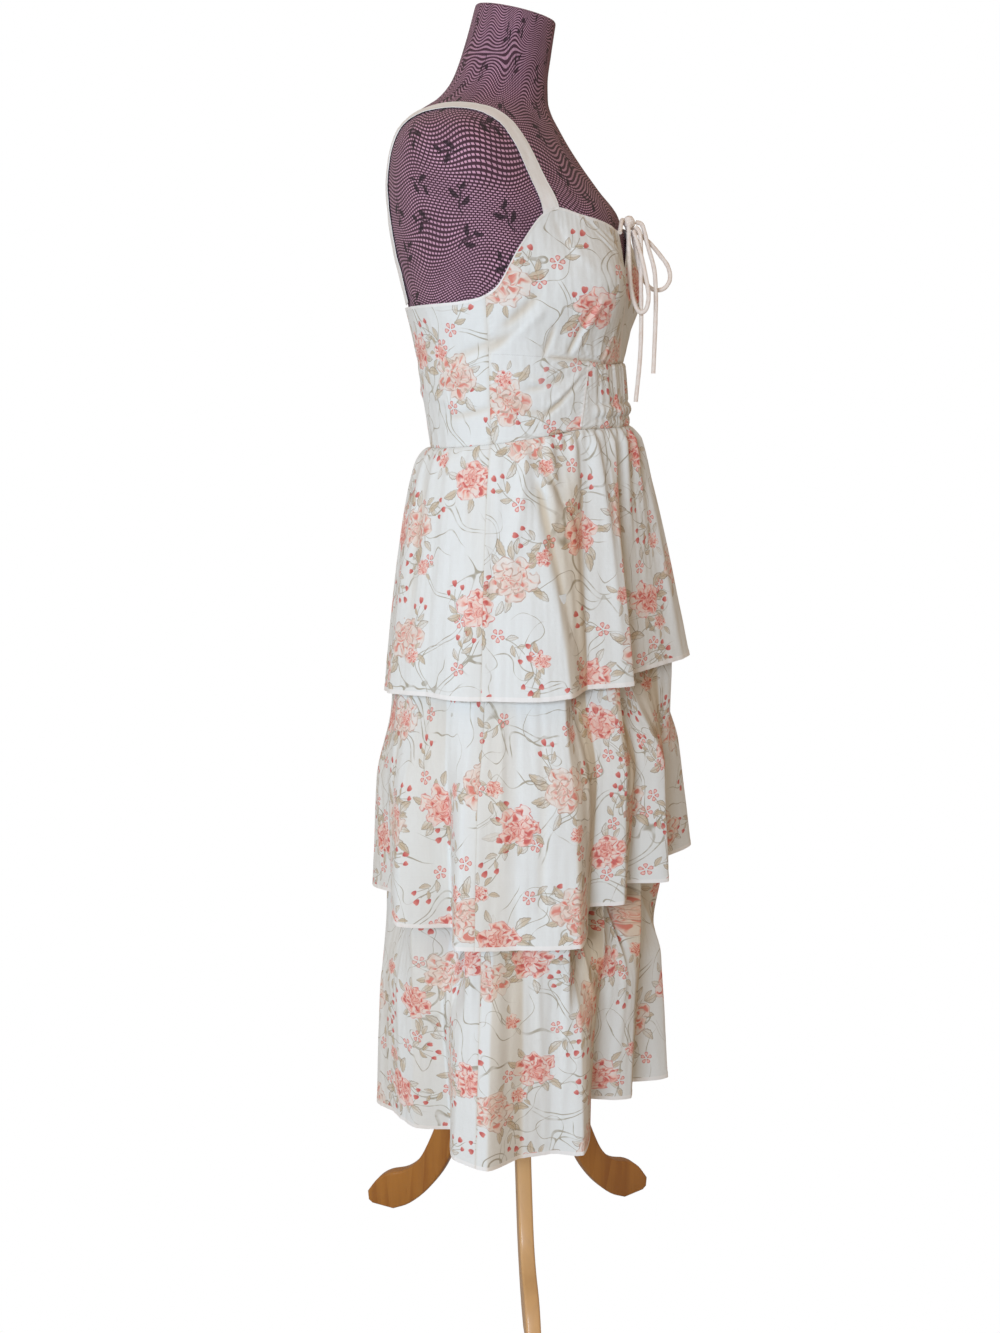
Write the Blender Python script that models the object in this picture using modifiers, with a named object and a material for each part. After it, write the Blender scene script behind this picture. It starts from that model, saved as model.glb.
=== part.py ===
# A sleeveless tiered dress with a tied sweetheart bodice, worn by a limbless
# dress form on a turned pole with three curved wooden legs.
# Metres, +Z up. The dress faces -Y, and the wearer's right side is -X.
# Angles run round the pole from centre front (0) to the wearer's right (+90).

import bpy
import bmesh
from itertools import product
from math import radians, degrees, sin, cos, pi, hypot, sqrt, exp
from mathutils import Vector
from mathutils.bvhtree import BVHTree

CLOTH = 0.0015
SEAM_GAP = 0.0003
SIDE_GAP = 0.0005
EASE = 0.0021
LAYER_GAP = 0.0008

# Dress form: one row for each level of the covered body
FORM_COLUMNS = ("height", "half_width", "front", "back", "widest", "front_power", "tilt")
FORM_ROWS = (
    (0.700, 0.122, 0.094, 0.102, 0.000, 2.0, 0.00),
    (0.760, 0.140, 0.104, 0.112, 0.000, 2.0, 0.00),
    (0.830, 0.145, 0.109, 0.115, 0.000, 2.0, 0.00),
    (0.900, 0.136, 0.110, 0.106, 0.000, 2.0, 0.00),
    (0.960, 0.121, 0.110, 0.093, 0.000, 2.0, 0.00),
    (1.000, 0.1145, 0.112, 0.0885, 0.000, 2.0, 0.00),
    (1.050, 0.121, 0.112, 0.098, 0.000, 2.0, 0.00),
    (1.095, 0.128, 0.110, 0.107, 0.000, 2.0, 0.00),
    (1.130, 0.136, 0.109, 0.115, 0.000, 2.0, 0.00),
    (1.165, 0.142, 0.107, 0.124, 0.000, 1.9, 0.00),
    (1.200, 0.147, 0.106, 0.133, 0.000, 1.7, 0.00),
    (1.232, 0.152, 0.104, 0.137, 0.002, 1.6, 0.00),
    (1.262, 0.156, 0.084, 0.138, 0.006, 1.6, 0.00),
    (1.290, 0.154, 0.063, 0.134, 0.014, 1.7, 0.00),
    (1.312, 0.142, 0.048, 0.127, 0.024, 1.8, 0.00),
    (1.328, 0.116, 0.039, 0.118, 0.033, 1.9, 0.00),
    (1.340, 0.086, 0.033, 0.108, 0.036, 2.0, 0.00),
    (1.354, 0.064, 0.030, 0.086, 0.028, 2.0, 0.02),
    (1.372, 0.052, 0.030, 0.071, 0.020, 2.0, 0.05),
    (1.405, 0.046, 0.034, 0.057, 0.011, 2.0, 0.12),
    (1.440, 0.044, 0.039, 0.045, 0.003, 2.0, 0.22),
)
FORM_SIDES = 30
FORM_STEP = 0.050
BUST_ANGLE = 31.0
BUST_HEIGHT = 1.163
BUST_DEPTH = 0.027
BUST_SPREAD = 26.35
BUST_ABOVE = 0.060
BUST_BELOW = 0.050

# Bodice: (angle from centre front, height) along its edges and seams. KEYHOLE
# gives (height, angle) down the slit between the cups
TOP_EDGE = (
    (2.0, 1.214), (12.0, 1.216), (26.0, 1.222), (45.0, 1.229), (57.0, 1.234), (64.0, 1.227),
    (74.0, 1.196), (84.0, 1.155), (92.0, 1.145), (106.0, 1.141), (150.0, 1.138), (180.0, 1.137),
)
UNDERBUST = ((0.0, 1.080), (20.0, 1.079), (38.0, 1.083), (60.0, 1.087), (88.0, 1.090), (180.0, 1.090))
WAIST = ((0.0, 1.013), (40.0, 1.013), (60.0, 1.007), (90.0, 0.998), (130.0, 0.991), (180.0, 0.988))
KEYHOLE = ((1.080, 0.15), (1.165, 0.15), (1.182, 2.0), (1.200, 7.0), (1.216, 11.5))
SIDE_SEAM = 88.0
PRINCESS_TOP = (1.083, 37.0)
PRINCESS_WAIST = (1.013, 42.0)
WAIST_SIZE = (0.1210, 0.1225, 0.0940)
RUCHE_HEIGHT = 1.031
RUCHE_DEPTH = 0.0030
RUCHE_SPREAD = 0.006
MIDRIFF_GATHERS = 7
MIDRIFF_DEPTH = 0.0016
MIDRIFF_EDGE = 8.0
CUP_GATHER_PITCH = 0.6
CUP_GATHER_DEPTH = 0.0028
CUP_GATHER_REACH = 0.055
CUP_GATHER_RISE = 0.009
CUP_GATHER_FAN = (8.0, 28.0)

# Skirt tiers. Each row is a fold's (angle at the hem, angle at the seam,
# radius of the hem in mm, height of the hem in mm)
TIER_1_FOLDS = (
    (-165, -165, 151, 712), (-150, -152, 160, 716), (-134, -136, 153, 722), (-116, -118, 168, 730),
    (-101, -102, 161, 734), (-86, -84, 172, 736), (-72, -68, 163, 739), (-58, -53, 181, 743),
    (-45, -40, 163, 746), (-31, -26, 178, 749), (-16, -14, 198, 751), (-3, -2, 150, 749),
    (7, 8, 131, 747), (25, 22, 165, 744), (37, 32, 155, 742), (46, 42, 170, 741),
    (54, 67, 156, 738), (66, 75, 168, 735), (82, 84, 164, 735), (98, 97, 169, 734),
    (112, 112, 160, 732), (134, 132, 163, 725), (148, 148, 151, 717), (163, 163, 153, 711),
    (180, 180, 148, 709),
)
TIER_2_FOLDS = (
    (-164, -164, 170, 475), (-150, -151, 156, 481), (-136, -137, 178, 473), (-121, -121, 158, 480),
    (-106, -105, 194, 468), (-90, -90, 172, 474), (-75, -76, 202, 470), (-60, -60, 166, 488),
    (-45, -44, 204, 500), (-35, -34, 180, 505), (-24, -24, 212, 512), (-9, -10, 162, 508),
    (8, 8, 188, 504), (18, 17, 147, 504), (31, 30, 172, 496), (42, 41, 149, 493),
    (54, 55, 196, 469), (74, 74, 187, 468), (94, 93, 197, 467), (104, 103, 144, 468),
    (122, 121, 180, 468), (142, 142, 157, 484), (163, 163, 171, 474), (180, 180, 162, 477),
)
TIER_3_FOLDS = (
    (-166, -166, 166, 202), (-150, -150, 176, 200), (-134, -134, 152, 206), (-118, -118, 186, 207),
    (-98, -98, 166, 213), (-79, -80, 192, 210), (-67, -68, 164, 218), (-56, -56, 196, 215),
    (-44, -44, 190, 222), (-31, -31, 152, 230), (-16, -16, 186, 222), (-4, -4, 138, 230),
    (13, 13, 153, 234), (31, 31, 119, 240), (50, 50, 181, 214), (61, 61, 163, 212),
    (73, 73, 166, 211), (84, 83, 197, 211), (97, 95, 184, 211), (110, 109, 129, 211),
    (124, 123, 156, 211), (141, 141, 158, 210), (156, 156, 171, 202), (180, 180, 160, 200),
)
# Smooth ovals that the folds stand on: front, side and back radius
TIER_1_OVAL = (0.168, 0.166, 0.152)
TIER_2_TOP_OVAL = (0.170, 0.164, 0.150)
TIER_2_OVAL = (0.182, 0.178, 0.166)
TIER_3_TOP_OVAL = (0.160, 0.162, 0.150)
TIER_3_OVAL = (0.170, 0.170, 0.164)
TIER_2_INSET = (0.018, 0.006)
TIER_3_INSET = (0.030, 0.014)
FRONT_COLUMNS = 60
BACK_COLUMNS = 36
TIER_ROWS = 6
OVERLAP_ROWS = 2
WAIST_GATHERS = 15
GATHER_DEPTH = 0.0035
GATHER_MEAN = 0.7
GATHER_START = 0.06
GATHER_END = 0.5
GATHER_SIDES = 0.35
GATHER_EDGE = (75.0, 20.0)
WAIST_LIFT = 0.0004
FLARE_POWER = (0.60, 0.15)
FOLD_POWER = 0.75
TIER_1_ROW_POWER = 1.25
LIP_SHARE = 0.45
STEEPEST = 3.5
SLOPE_ANGLE = 1.0
SLOPE_DROP = 0.004

STRAP_WIDTH = 0.020
STRAP_FRONT = (-0.1090, -0.0610, 1.2350)
STRAP_TOP = (-0.1010, 0.0320, 1.335)
STRAP_BACK = (-0.0730, 0.1000, 1.1430)
STRAP_HUB = (-0.0980, 0.0180, 1.225)
STRAP_LIFT = 0.0009
STRAP_FEELERS = (-0.0075, -0.0038, 0.0, 0.0038, 0.0075)
STRAP_REACH = 0.100
STRAP_STEPS = (12, 21)
STRAP_END = 0.10

CORD_RADIUS = 0.0024
CORD_STEP = 0.012
ROUTE_SAMPLES = 12
KNOT_CENTRE = (0.0, -0.1215, 1.226)
KNOT_RADII = (0.0086, 0.0064, 0.0075)
# Tie: points of each cord, measured from the knot
LOOP_RIGHT = (
    (-0.0080, -0.0012, -0.0051), (-0.0106, -0.0020, -0.0140), (-0.0110, -0.0030, -0.0350),
    (-0.0110, -0.0050, -0.0620), (-0.0100, -0.0090, -0.0820), (-0.0090, -0.0150, -0.0925),
    (-0.0080, -0.0215, -0.0900), (-0.0070, -0.0240, -0.0760), (-0.0055, -0.0200, -0.0550),
    (-0.0040, -0.0145, -0.0340), (-0.0025, -0.0075, -0.0145), (-0.0020, -0.0049, -0.0085),
)
LOOP_LEFT = (
    (0.0083, -0.0013, -0.0046), (0.0128, -0.0080, -0.0100), (0.0200, -0.0200, -0.0210),
    (0.0260, -0.0300, -0.0330), (0.0300, -0.0380, -0.0450), (0.0300, -0.0400, -0.0580),
    (0.0260, -0.0340, -0.0675), (0.0200, -0.0230, -0.0680), (0.0150, -0.0130, -0.0560),
    (0.0115, -0.0075, -0.0360), (0.0070, -0.0040, -0.0160), (0.0040, -0.0038, -0.0091),
)
END_RIGHT = (
    (0.0012, -0.0066, -0.0041), (0.0013, -0.0120, -0.0120), (0.0012, -0.0135, -0.0350),
    (0.0000, -0.0140, -0.0600), (-0.0005, -0.0150, -0.0850), (-0.0005, -0.0155, -0.1130),
    (0.0000, -0.0145, -0.1450), (0.0000, -0.0110, -0.1870),
)
END_LEFT = (
    (0.0045, -0.0068, 0.0006), (0.0085, -0.0130, -0.0030), (0.0100, -0.0190, -0.0240),
    (0.0120, -0.0260, -0.0480), (0.0140, -0.0280, -0.0750), (0.0150, -0.0280, -0.1000),
    (0.0150, -0.0275, -0.1300), (0.0140, -0.0270, -0.1570),
)
# Lace from the knot to the top corner of each cup, for the right side
LACE = (
    (-0.0080, 0.0052, 0.0020), (-0.0122, 0.0054, 0.0006), (-0.0190, 0.0050, -0.0060),
    (-0.0243, 0.0046, -0.0120),
)

# Stand
POLE_RADIUS = 0.0125
PLATE_RADIUS = 0.085
PLATE_THICKNESS = 0.014
HUB_RADIUS = 0.027
HUB_BOTTOM = 0.182
HUB_TOP = 0.292
LEG_THICKNESS = 0.017
LEG_ANGLES = (69.0, 189.0, -51.0)
# Leg's outline seen from its side: (distance from the pole, height)
LEG_OUTLINE = (
    (0.0276, 0.275), (0.046, 0.266), (0.068, 0.240), (0.088, 0.198), (0.103, 0.152),
    (0.118, 0.112), (0.134, 0.080), (0.155, 0.060), (0.180, 0.049), (0.196, 0.036),
    (0.210, 0.016), (0.209, 0.004), (0.203, 0.000), (0.172, 0.000), (0.148, 0.014),
    (0.122, 0.040), (0.099, 0.074), (0.082, 0.114), (0.067, 0.152), (0.050, 0.182),
    (0.0276, 0.196),
)

SHARP_ANGLE = 35.0

# Colour, roughness and metallic value of each finish
FINISHES = {
    "printed_cotton": ((0.80, 0.84, 0.83), 0.85, 0.0),
    "tie_cotton": ((0.86, 0.80, 0.76), 0.85, 0.0),
    "form_cover": ((0.24, 0.14, 0.20), 0.90, 0.0),
    "beech": ((0.62, 0.33, 0.13), 0.38, 0.0),
}


def clear_scene():
    for thing in list(bpy.data.objects):
        bpy.data.objects.remove(thing, do_unlink=True)


def smooth_step(value):
    value = min(1.0, max(0.0, value))
    return value * value * (3.0 - 2.0 * value)


def curve_through(rows, place):
    # Smooth curve through (place, value) rows that never overshoots them
    last = len(rows) - 1
    if place <= rows[0][0]:
        return rows[0][1]
    if place >= rows[last][0]:
        return rows[last][1]
    steps = [rows[i + 1][0] - rows[i][0] for i in range(last)]
    rises = [(rows[i + 1][1] - rows[i][1]) / steps[i] for i in range(last)]
    index = 0
    while place > rows[index + 1][0]:
        index += 1
    slopes = []
    for i in (index, index + 1):
        if i in (0, last):
            slopes.append(rises[min(i, last - 1)])
        elif rises[i - 1] * rises[i] <= 0.0:
            slopes.append(0.0)
        else:
            slopes.append(2.0 * rises[i - 1] * rises[i] / (rises[i - 1] + rises[i]))
    step = steps[index]
    t = (place - rows[index][0]) / step
    return (
        rows[index][1] * (1 + 2 * t) * (1 - t) ** 2
        + slopes[0] * step * t * (1 - t) ** 2
        + rows[index + 1][1] * t * t * (3 - 2 * t)
        - slopes[1] * step * t * t * (1 - t)
    )


def column(rows, index):
    return [(row[0], row[index]) for row in rows]


FORM_CURVES = {name: column(FORM_ROWS, i) for i, name in enumerate(FORM_COLUMNS)}


def form_level(height, name):
    return curve_through(FORM_CURVES[name], height)


def bust(angle, height):
    away = (folded(angle) - BUST_ANGLE) / BUST_SPREAD
    spread = BUST_ABOVE if height > BUST_HEIGHT else BUST_BELOW
    lift = (height - BUST_HEIGHT) / spread
    return BUST_DEPTH * exp(-away * away - lift * lift)


def body_radius(angle, height):
    # Radius of the covered body round its widest line at one height
    half_width = form_level(height, "half_width")
    widest = form_level(height, "widest")
    front = form_level(height, "front") + widest
    back = form_level(height, "back") - widest
    turn = radians(angle)
    if cos(turn) > 0.0:
        power = form_level(height, "front_power")
        depth = front
    else:
        power = 2.0
        depth = back
    spread = (abs(sin(turn)) / half_width) ** power + (abs(cos(turn)) / depth) ** power
    return spread ** (-1.0 / power) + bust(angle, height)


def at(angle, radius, height, centre_y=0.0):
    turn = radians(angle)
    return Vector((-radius * sin(turn), centre_y - radius * cos(turn), height))


def folded(angle):
    # Both sides of the dress share one table: 0 at the front, 180 at the back
    angle = abs(angle) % 360.0
    return angle if angle <= 180.0 else 360.0 - angle


def mirrored(rows, angle):
    return curve_through(rows, folded(angle))


def waist_radius(angle):
    # Outer radius of the dress at its waist seam
    half_width, front, back = WAIST_SIZE
    turn = radians(angle)
    depth = front if cos(turn) > 0.0 else back
    return 1.0 / hypot(sin(turn) / half_width, cos(turn) / depth)


def bodice_radius(angle, height):
    # Outer surface of the bodice: clear of the body, straight under the bust
    close = body_radius(angle, height) + EASE + CLOTH
    seam = mirrored(WAIST, angle)
    under = mirrored(UNDERBUST, angle)
    if height >= under:
        return close
    share = (height - seam) / (under - seam)
    under_radius = body_radius(angle, under) + EASE + CLOTH
    straight = waist_radius(angle) * (1.0 - share) + under_radius * share
    return max(close, straight)


def cup_surface(angle, height):
    # Gathers fan out from under the bust point
    under = mirrored(UNDERBUST, angle)
    rise = max(0.0, height - under)
    reach = rise / CUP_GATHER_REACH
    narrow, wide = CUP_GATHER_FAN
    fan = (abs(angle) - BUST_ANGLE) / (narrow + (wide - narrow) * reach)
    fade = max(0.0, 1.0 - reach) * smooth_step(rise / CUP_GATHER_RISE) * exp(-fan * fan)
    wave = 0.5 + 0.5 * cos(2.0 * pi * fan / CUP_GATHER_PITCH)
    return bodice_radius(angle, height) + CUP_GATHER_DEPTH * wave * fade


def midriff_surface(angle, height):
    # Upright gathers, with a ruched line above the waist
    wave = 0.5 + 0.5 * cos(pi * MIDRIFF_GATHERS * angle / PRINCESS_WAIST[1])
    edge = smooth_step((PRINCESS_TOP[1] - abs(angle)) / MIDRIFF_EDGE)
    line = exp(-(((height - RUCHE_HEIGHT) / RUCHE_SPREAD) ** 2))
    return bodice_radius(angle, height) + edge * (MIDRIFF_DEPTH * wave + RUCHE_DEPTH * line)


def new_object(name, bm, finish, collection):
    mesh = bpy.data.meshes.new(name)
    bm.to_mesh(mesh)
    bm.free()
    mesh.shade_smooth()
    mesh.set_sharp_from_angle(angle=radians(SHARP_ANGLE))
    thing = bpy.data.objects.new(name, mesh)
    dress_up(thing, finish)
    collection.objects.link(thing)
    return thing


def dress_up(thing, finish):
    colour, roughness, metallic = FINISHES[finish]
    material = bpy.data.materials.new(thing.name + "_" + finish)
    material.use_nodes = True
    shader = material.node_tree.nodes["Principled BSDF"]
    shader.inputs["Base Color"].default_value = (*colour, 1.0)
    shader.inputs["Roughness"].default_value = roughness
    shader.inputs["Metallic"].default_value = metallic
    thing.data.materials.append(material)


def cloth(name, surface, columns, rows, collection, finish="printed_cotton"):
    # surface(s, t) gives the outer face: s across, t from the top edge down
    bm = bmesh.new()
    bmesh.ops.create_grid(bm, x_segments=columns, y_segments=rows, size=0.5)
    for vert in bm.verts:
        vert.co = surface(vert.co.x + 0.5, 0.5 - vert.co.y)
    piece = new_object(name, bm, finish, collection)
    wall = piece.modifiers.new("wall", "SOLIDIFY")
    wall.thickness = CLOTH
    wall.offset = -1.0
    wall.use_even_offset = True
    return piece


def bodice_panel(name, side, first, last, top, bottom, outer, columns, rows, collection):
    # first and last give the angle of each upright seam at a height; side is +1
    # for the wearer's right and -1 for the left
    def surface(s, t):
        angle = first(0.0) * (1.0 - s) + last(0.0) * s
        for _ in range(3):
            high = mirrored(top, angle)
            low = mirrored(bottom, angle)
            height = high * (1.0 - t) + low * t
            angle = first(height) * (1.0 - s) + last(height) * s
        return at(side * angle, outer(angle, height), height)

    if side > 0:
        return cloth(name, lambda s, t: surface(1.0 - s, t), columns, rows, collection)
    return cloth(name, surface, columns, rows, collection)


def lowered(rows, drop):
    return tuple((angle, height - drop) for angle, height in rows)


def steady(angle):
    return lambda height: angle


def princess(height):
    low, low_angle = PRINCESS_WAIST
    high, high_angle = PRINCESS_TOP
    return low_angle + (high_angle - low_angle) * (height - low) / (high - low)


def build_bodice(collection):
    half_gap = degrees(SEAM_GAP / WAIST_SIZE[0])
    for side, word in ((1, "right"), (-1, "left")):
        bodice_panel(
            "dress_cup_" + word, side, lambda height: curve_through(KEYHOLE, height),
            steady(SIDE_SEAM - half_gap), TOP_EDGE, lowered(UNDERBUST, -SEAM_GAP),
            cup_surface, 22, 8, collection)
        bodice_panel(
            "dress_midriff_" + word, side, lambda height: princess(height) + half_gap,
            steady(SIDE_SEAM - half_gap), lowered(UNDERBUST, SEAM_GAP), lowered(WAIST, -SEAM_GAP),
            bodice_radius, 9, 4, collection)
    bodice_panel(
        "dress_midriff_centre", 1, lambda height: -princess(height) + half_gap,
        lambda height: princess(height) - half_gap, lowered(UNDERBUST, SEAM_GAP),
        lowered(WAIST, -SEAM_GAP), midriff_surface, 28, 6, collection)
    bodice_panel(
        "dress_back", 1, steady(SIDE_SEAM + half_gap), steady(360.0 - SIDE_SEAM - half_gap),
        TOP_EDGE, lowered(WAIST, -SEAM_GAP), bodice_radius, 22, 5, collection)


def oval(sizes, angle):
    front, side, back = sizes
    lobe = cos(radians(angle))
    return side + ((front - side) if lobe > 0.0 else (back - side)) * lobe * lobe


def fold_rows(folds, share, index):
    # One fold column as rows over the angle, wrapped past both ends
    rows = []
    for turn in (-360.0, 0.0, 360.0):
        for row in folds:
            angle = row[1] * (1.0 - share) + row[0] * share
            rows.append((angle + turn, row[index] * 0.001))
    return rows


class Tier:
    # A gathered ring of cloth: its top seam, its folds, and what it hangs under
    def __init__(self, folds, hem_oval, top_oval, above, inset_sizes):
        self.folds = folds
        self.hem_oval = hem_oval
        self.top_oval = top_oval
        self.above = above
        self.inset_sizes = inset_sizes
        self.stored = {}

    def hem(self, angle):
        return self.column_value(1.0, 3, angle)

    def seam(self, angle):
        if self.above is None:
            return mirrored(WAIST, angle) - SEAM_GAP
        return self.above.level(angle, 1.0 - OVERLAP_ROWS / TIER_ROWS)

    def column_value(self, share, index, angle):
        key = (round(share, 3), index)
        if key not in self.stored:
            self.stored[key] = fold_rows(self.folds, key[0], index)
        return curve_through(self.stored[key], angle)

    def free_radius(self, angle, share):
        # Radius of the hanging cloth, share 0 at its top and 1 at its hem
        power = FLARE_POWER[0] + FLARE_POWER[1] * cos(radians(angle))
        if self.above is None:
            top = waist_radius(angle) + WAIST_LIFT
        else:
            top = oval(self.top_oval, angle)
        flare = top + (oval(self.hem_oval, angle) - top) * share ** power
        fold = self.column_value(share, 2, angle) - oval(self.hem_oval, angle)
        radius = flare + fold * share ** FOLD_POWER
        if self.above is None:
            near_front = smooth_step((GATHER_EDGE[0] - abs(angle)) / GATHER_EDGE[1])
            amount = GATHER_SIDES + (1.0 - GATHER_SIDES) * near_front
            wave = GATHER_MEAN + cos(radians(angle) * 2.0 * WAIST_GATHERS)
            rise = smooth_step(share / GATHER_START) * max(0.0, 1.0 - share / GATHER_END)
            radius += GATHER_DEPTH * wave * rise * amount
        return radius

    def radius(self, angle, height):
        if self.above is None:
            share = (self.seam(angle) - height) / (self.seam(angle) - self.hem(angle))
            return self.free_radius(angle, min(1.0, max(0.0, share)))
        joined = self.above.hem(angle)
        if height >= joined:
            return self.under_radius(angle, height)
        share = (joined - height) / (joined - self.hem(angle))
        own = self.free_radius(angle, share)
        start = self.under_radius(angle, joined)
        return start + (own - start) * smooth_step(share / LIP_SHARE)

    def under_radius(self, angle, height):
        # Inside the tier above: against its wall at the seam, further in below
        seam = self.seam(angle)
        drop = (seam - height) / (seam - self.above.hem(angle))
        front, back = self.inset_sizes
        apart = back + (front - back) * (0.5 + 0.5 * cos(radians(angle)))
        gap = CLOTH + LAYER_GAP + apart * drop
        here = self.above.radius(angle, height)
        ahead = self.above.radius(angle + SLOPE_ANGLE, height)
        behind = self.above.radius(angle - SLOPE_ANGLE, height)
        below = self.above.radius(angle, height - SLOPE_DROP)
        around = (ahead - behind) / (2.0 * radians(SLOPE_ANGLE) * here)
        down = (below - here) / SLOPE_DROP
        return here - gap * min(STEEPEST, sqrt(1.0 + around * around + down * down))

    def level(self, angle, t):
        # Height of a row of the cloth: t is 0 at the seam and 1 at the hem.
        # The first row of a lower tier spans what the tier above hides
        seam = self.seam(angle)
        hem = self.hem(angle)
        if self.above is None:
            return seam + (hem - seam) * t ** TIER_1_ROW_POWER
        joined = self.above.hem(angle)
        split = 1.0 / TIER_ROWS
        if t <= split:
            return seam + (joined - seam) * t / split
        return joined + (hem - joined) * (t - split) / (1.0 - split)

    def place(self, angle, t):
        height = self.level(angle, t)
        return at(angle, self.radius(angle, height), height)


def make_tiers():
    first = Tier(TIER_1_FOLDS, TIER_1_OVAL, None, None, None)
    second = Tier(TIER_2_FOLDS, TIER_2_OVAL, TIER_2_TOP_OVAL, first, TIER_2_INSET)
    third = Tier(TIER_3_FOLDS, TIER_3_OVAL, TIER_3_TOP_OVAL, second, TIER_3_INSET)
    return (first, second, third)


def build_tiers(collection):
    half_gap = degrees(0.5 * SIDE_GAP / TIER_1_OVAL[1])
    for number, tier in enumerate(make_tiers(), start=1):
        front_end = SIDE_SEAM - half_gap
        back_end = SIDE_SEAM + half_gap

        def front(s, t, tier=tier, end=front_end):
            return tier.place(end * (1.0 - 2.0 * s), t)

        def back(s, t, tier=tier, end=back_end):
            angle = -end - (360.0 - 2.0 * end) * s
            return tier.place(angle if angle > -180.0 else angle + 360.0, t)

        cloth("dress_tier_%d_front" % number, front, FRONT_COLUMNS, TIER_ROWS, collection)
        cloth("dress_tier_%d_back" % number, back, BACK_COLUMNS, TIER_ROWS, collection)


def build_form(collection):
    bm = bmesh.new()
    rings = []
    levels = []
    for i in range(len(FORM_ROWS) - 1):
        low = FORM_ROWS[i][0]
        high = FORM_ROWS[i + 1][0]
        parts = 2 if high - low > FORM_STEP else 1
        levels += [low + (high - low) * k / parts for k in range(parts)]
    levels.append(FORM_ROWS[-1][0])
    for height in levels:
        centre = form_level(height, "widest")
        tilt = form_level(height, "tilt")
        ring = []
        for k in range(FORM_SIDES):
            angle = 360.0 * k / FORM_SIDES - 180.0
            point = at(angle, body_radius(angle, height), height, centre)
            point.z += tilt * (point.y - centre)
            ring.append(bm.verts.new(point))
        rings.append(ring)
    for low, high in zip(rings, rings[1:]):
        for k in range(FORM_SIDES):
            after = (k + 1) % FORM_SIDES
            bm.faces.new((low[after], low[k], high[k], high[after]))
    bm.faces.new(rings[0])
    bm.faces.new(list(reversed(rings[-1])))
    bmesh.ops.recalc_face_normals(bm, faces=bm.faces)
    return new_object("form_body", bm, "form_cover", collection)


def strap_path(side):
    # From the cup's top corner over the shoulder to the back's top edge,
    # as rays from a hub inside the shoulder
    marks = [Vector(STRAP_FRONT), Vector(STRAP_TOP), Vector(STRAP_BACK)]
    hub = Vector(STRAP_HUB)
    points = []
    for start, end, count in zip(marks, marks[1:], STRAP_STEPS):
        for k in range(count + (end is marks[2])):
            share = k / count
            reach = (start - hub).normalized().slerp((end - hub).normalized(), share)
            points.append(hub + reach * STRAP_REACH)
    return [Vector((point.x * side, point.y, point.z)) for point in points]


def build_strap(name, side, form, collection):
    # Rays find the covered body under each point. The strap is taut: each
    # point lies as high as the highest of its neighbours
    tree = BVHTree.FromObject(form, bpy.context.evaluated_depsgraph_get())
    path = strap_path(side)
    hub = Vector((side * STRAP_HUB[0], STRAP_HUB[1], STRAP_HUB[2]))
    count = len(path) - 1
    ways = [(point - hub).normalized() for point in path]
    found = [tree.ray_cast(hub + way * STRAP_REACH * 3.0, -way) for way in ways]
    hits = [hit for hit, normal, face, distance in found]
    normals = [normal for hit, normal, face, distance in found]

    def surface(s, t):
        index = round(t * count)
        low = max(0, index - 1)
        high = min(count, index + 1)
        along = (hits[high] - hits[low]).normalized()
        out = normals[low] + normals[index] * 2.0 + normals[high]
        across = along.cross(out).normalized()
        out = across.cross(along)
        base = hits[index] + across * (0.5 - s) * STRAP_WIDTH
        rises = []
        for ahead, aside in product(STRAP_FEELERS, STRAP_FEELERS):
            start = base + along * ahead + across * aside + out * STRAP_REACH
            hit = tree.ray_cast(start, -out)[0]
            if hit is not None:
                rises.append((hit - base).dot(out))
        end = 1.0 - smooth_step(min(t, 1.0 - t) / STRAP_END)
        return base + out * (max(rises) + STRAP_LIFT + (EASE - STRAP_LIFT) * end + CLOTH)

    return cloth(name, surface, 2, count, collection)


def smooth_route(points, spacing):
    # Catmull-Rom curve through the route's points, evenly stepped
    knots = [Vector(p) for p in points]
    knots = [knots[0] * 2 - knots[1]] + knots + [knots[-1] * 2 - knots[-2]]
    dense = []
    for i in range(1, len(knots) - 2):
        a, b, c, d = knots[i - 1:i + 3]
        for k in range(ROUTE_SAMPLES):
            t = k / ROUTE_SAMPLES
            dense.append(0.5 * (2 * b + (c - a) * t + (2 * a - 5 * b + 4 * c - d) * t * t
                                + (3 * b - a - 3 * c + d) * t ** 3))
    dense.append(knots[-2])
    total = sum((q - p).length for p, q in zip(dense, dense[1:]))
    count = max(3, round(total / spacing))
    route = [dense[0]]
    walked = 0.0
    for p, q in zip(dense, dense[1:]):
        step = (q - p).length
        while len(route) < count and walked + step >= total * len(route) / count:
            route.append(p.lerp(q, (total * len(route) / count - walked) / step))
        walked += step
    route.append(dense[-1])
    return route


def build_cord(name, points, collection):
    origin = Vector(KNOT_CENTRE)
    route = smooth_route([origin + Vector(p) for p in points], CORD_STEP)
    curve = bpy.data.curves.new(name, "CURVE")
    curve.dimensions = "3D"
    curve.bevel_depth = CORD_RADIUS
    curve.bevel_resolution = 2
    curve.use_fill_caps = True
    spline = curve.splines.new("POLY")
    spline.points.add(len(route) - 1)
    for slot, point in zip(spline.points, route):
        slot.co = (*point, 1.0)
    thing = bpy.data.objects.new(name, curve)
    dress_up(thing, "tie_cotton")
    collection.objects.link(thing)
    return thing


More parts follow.
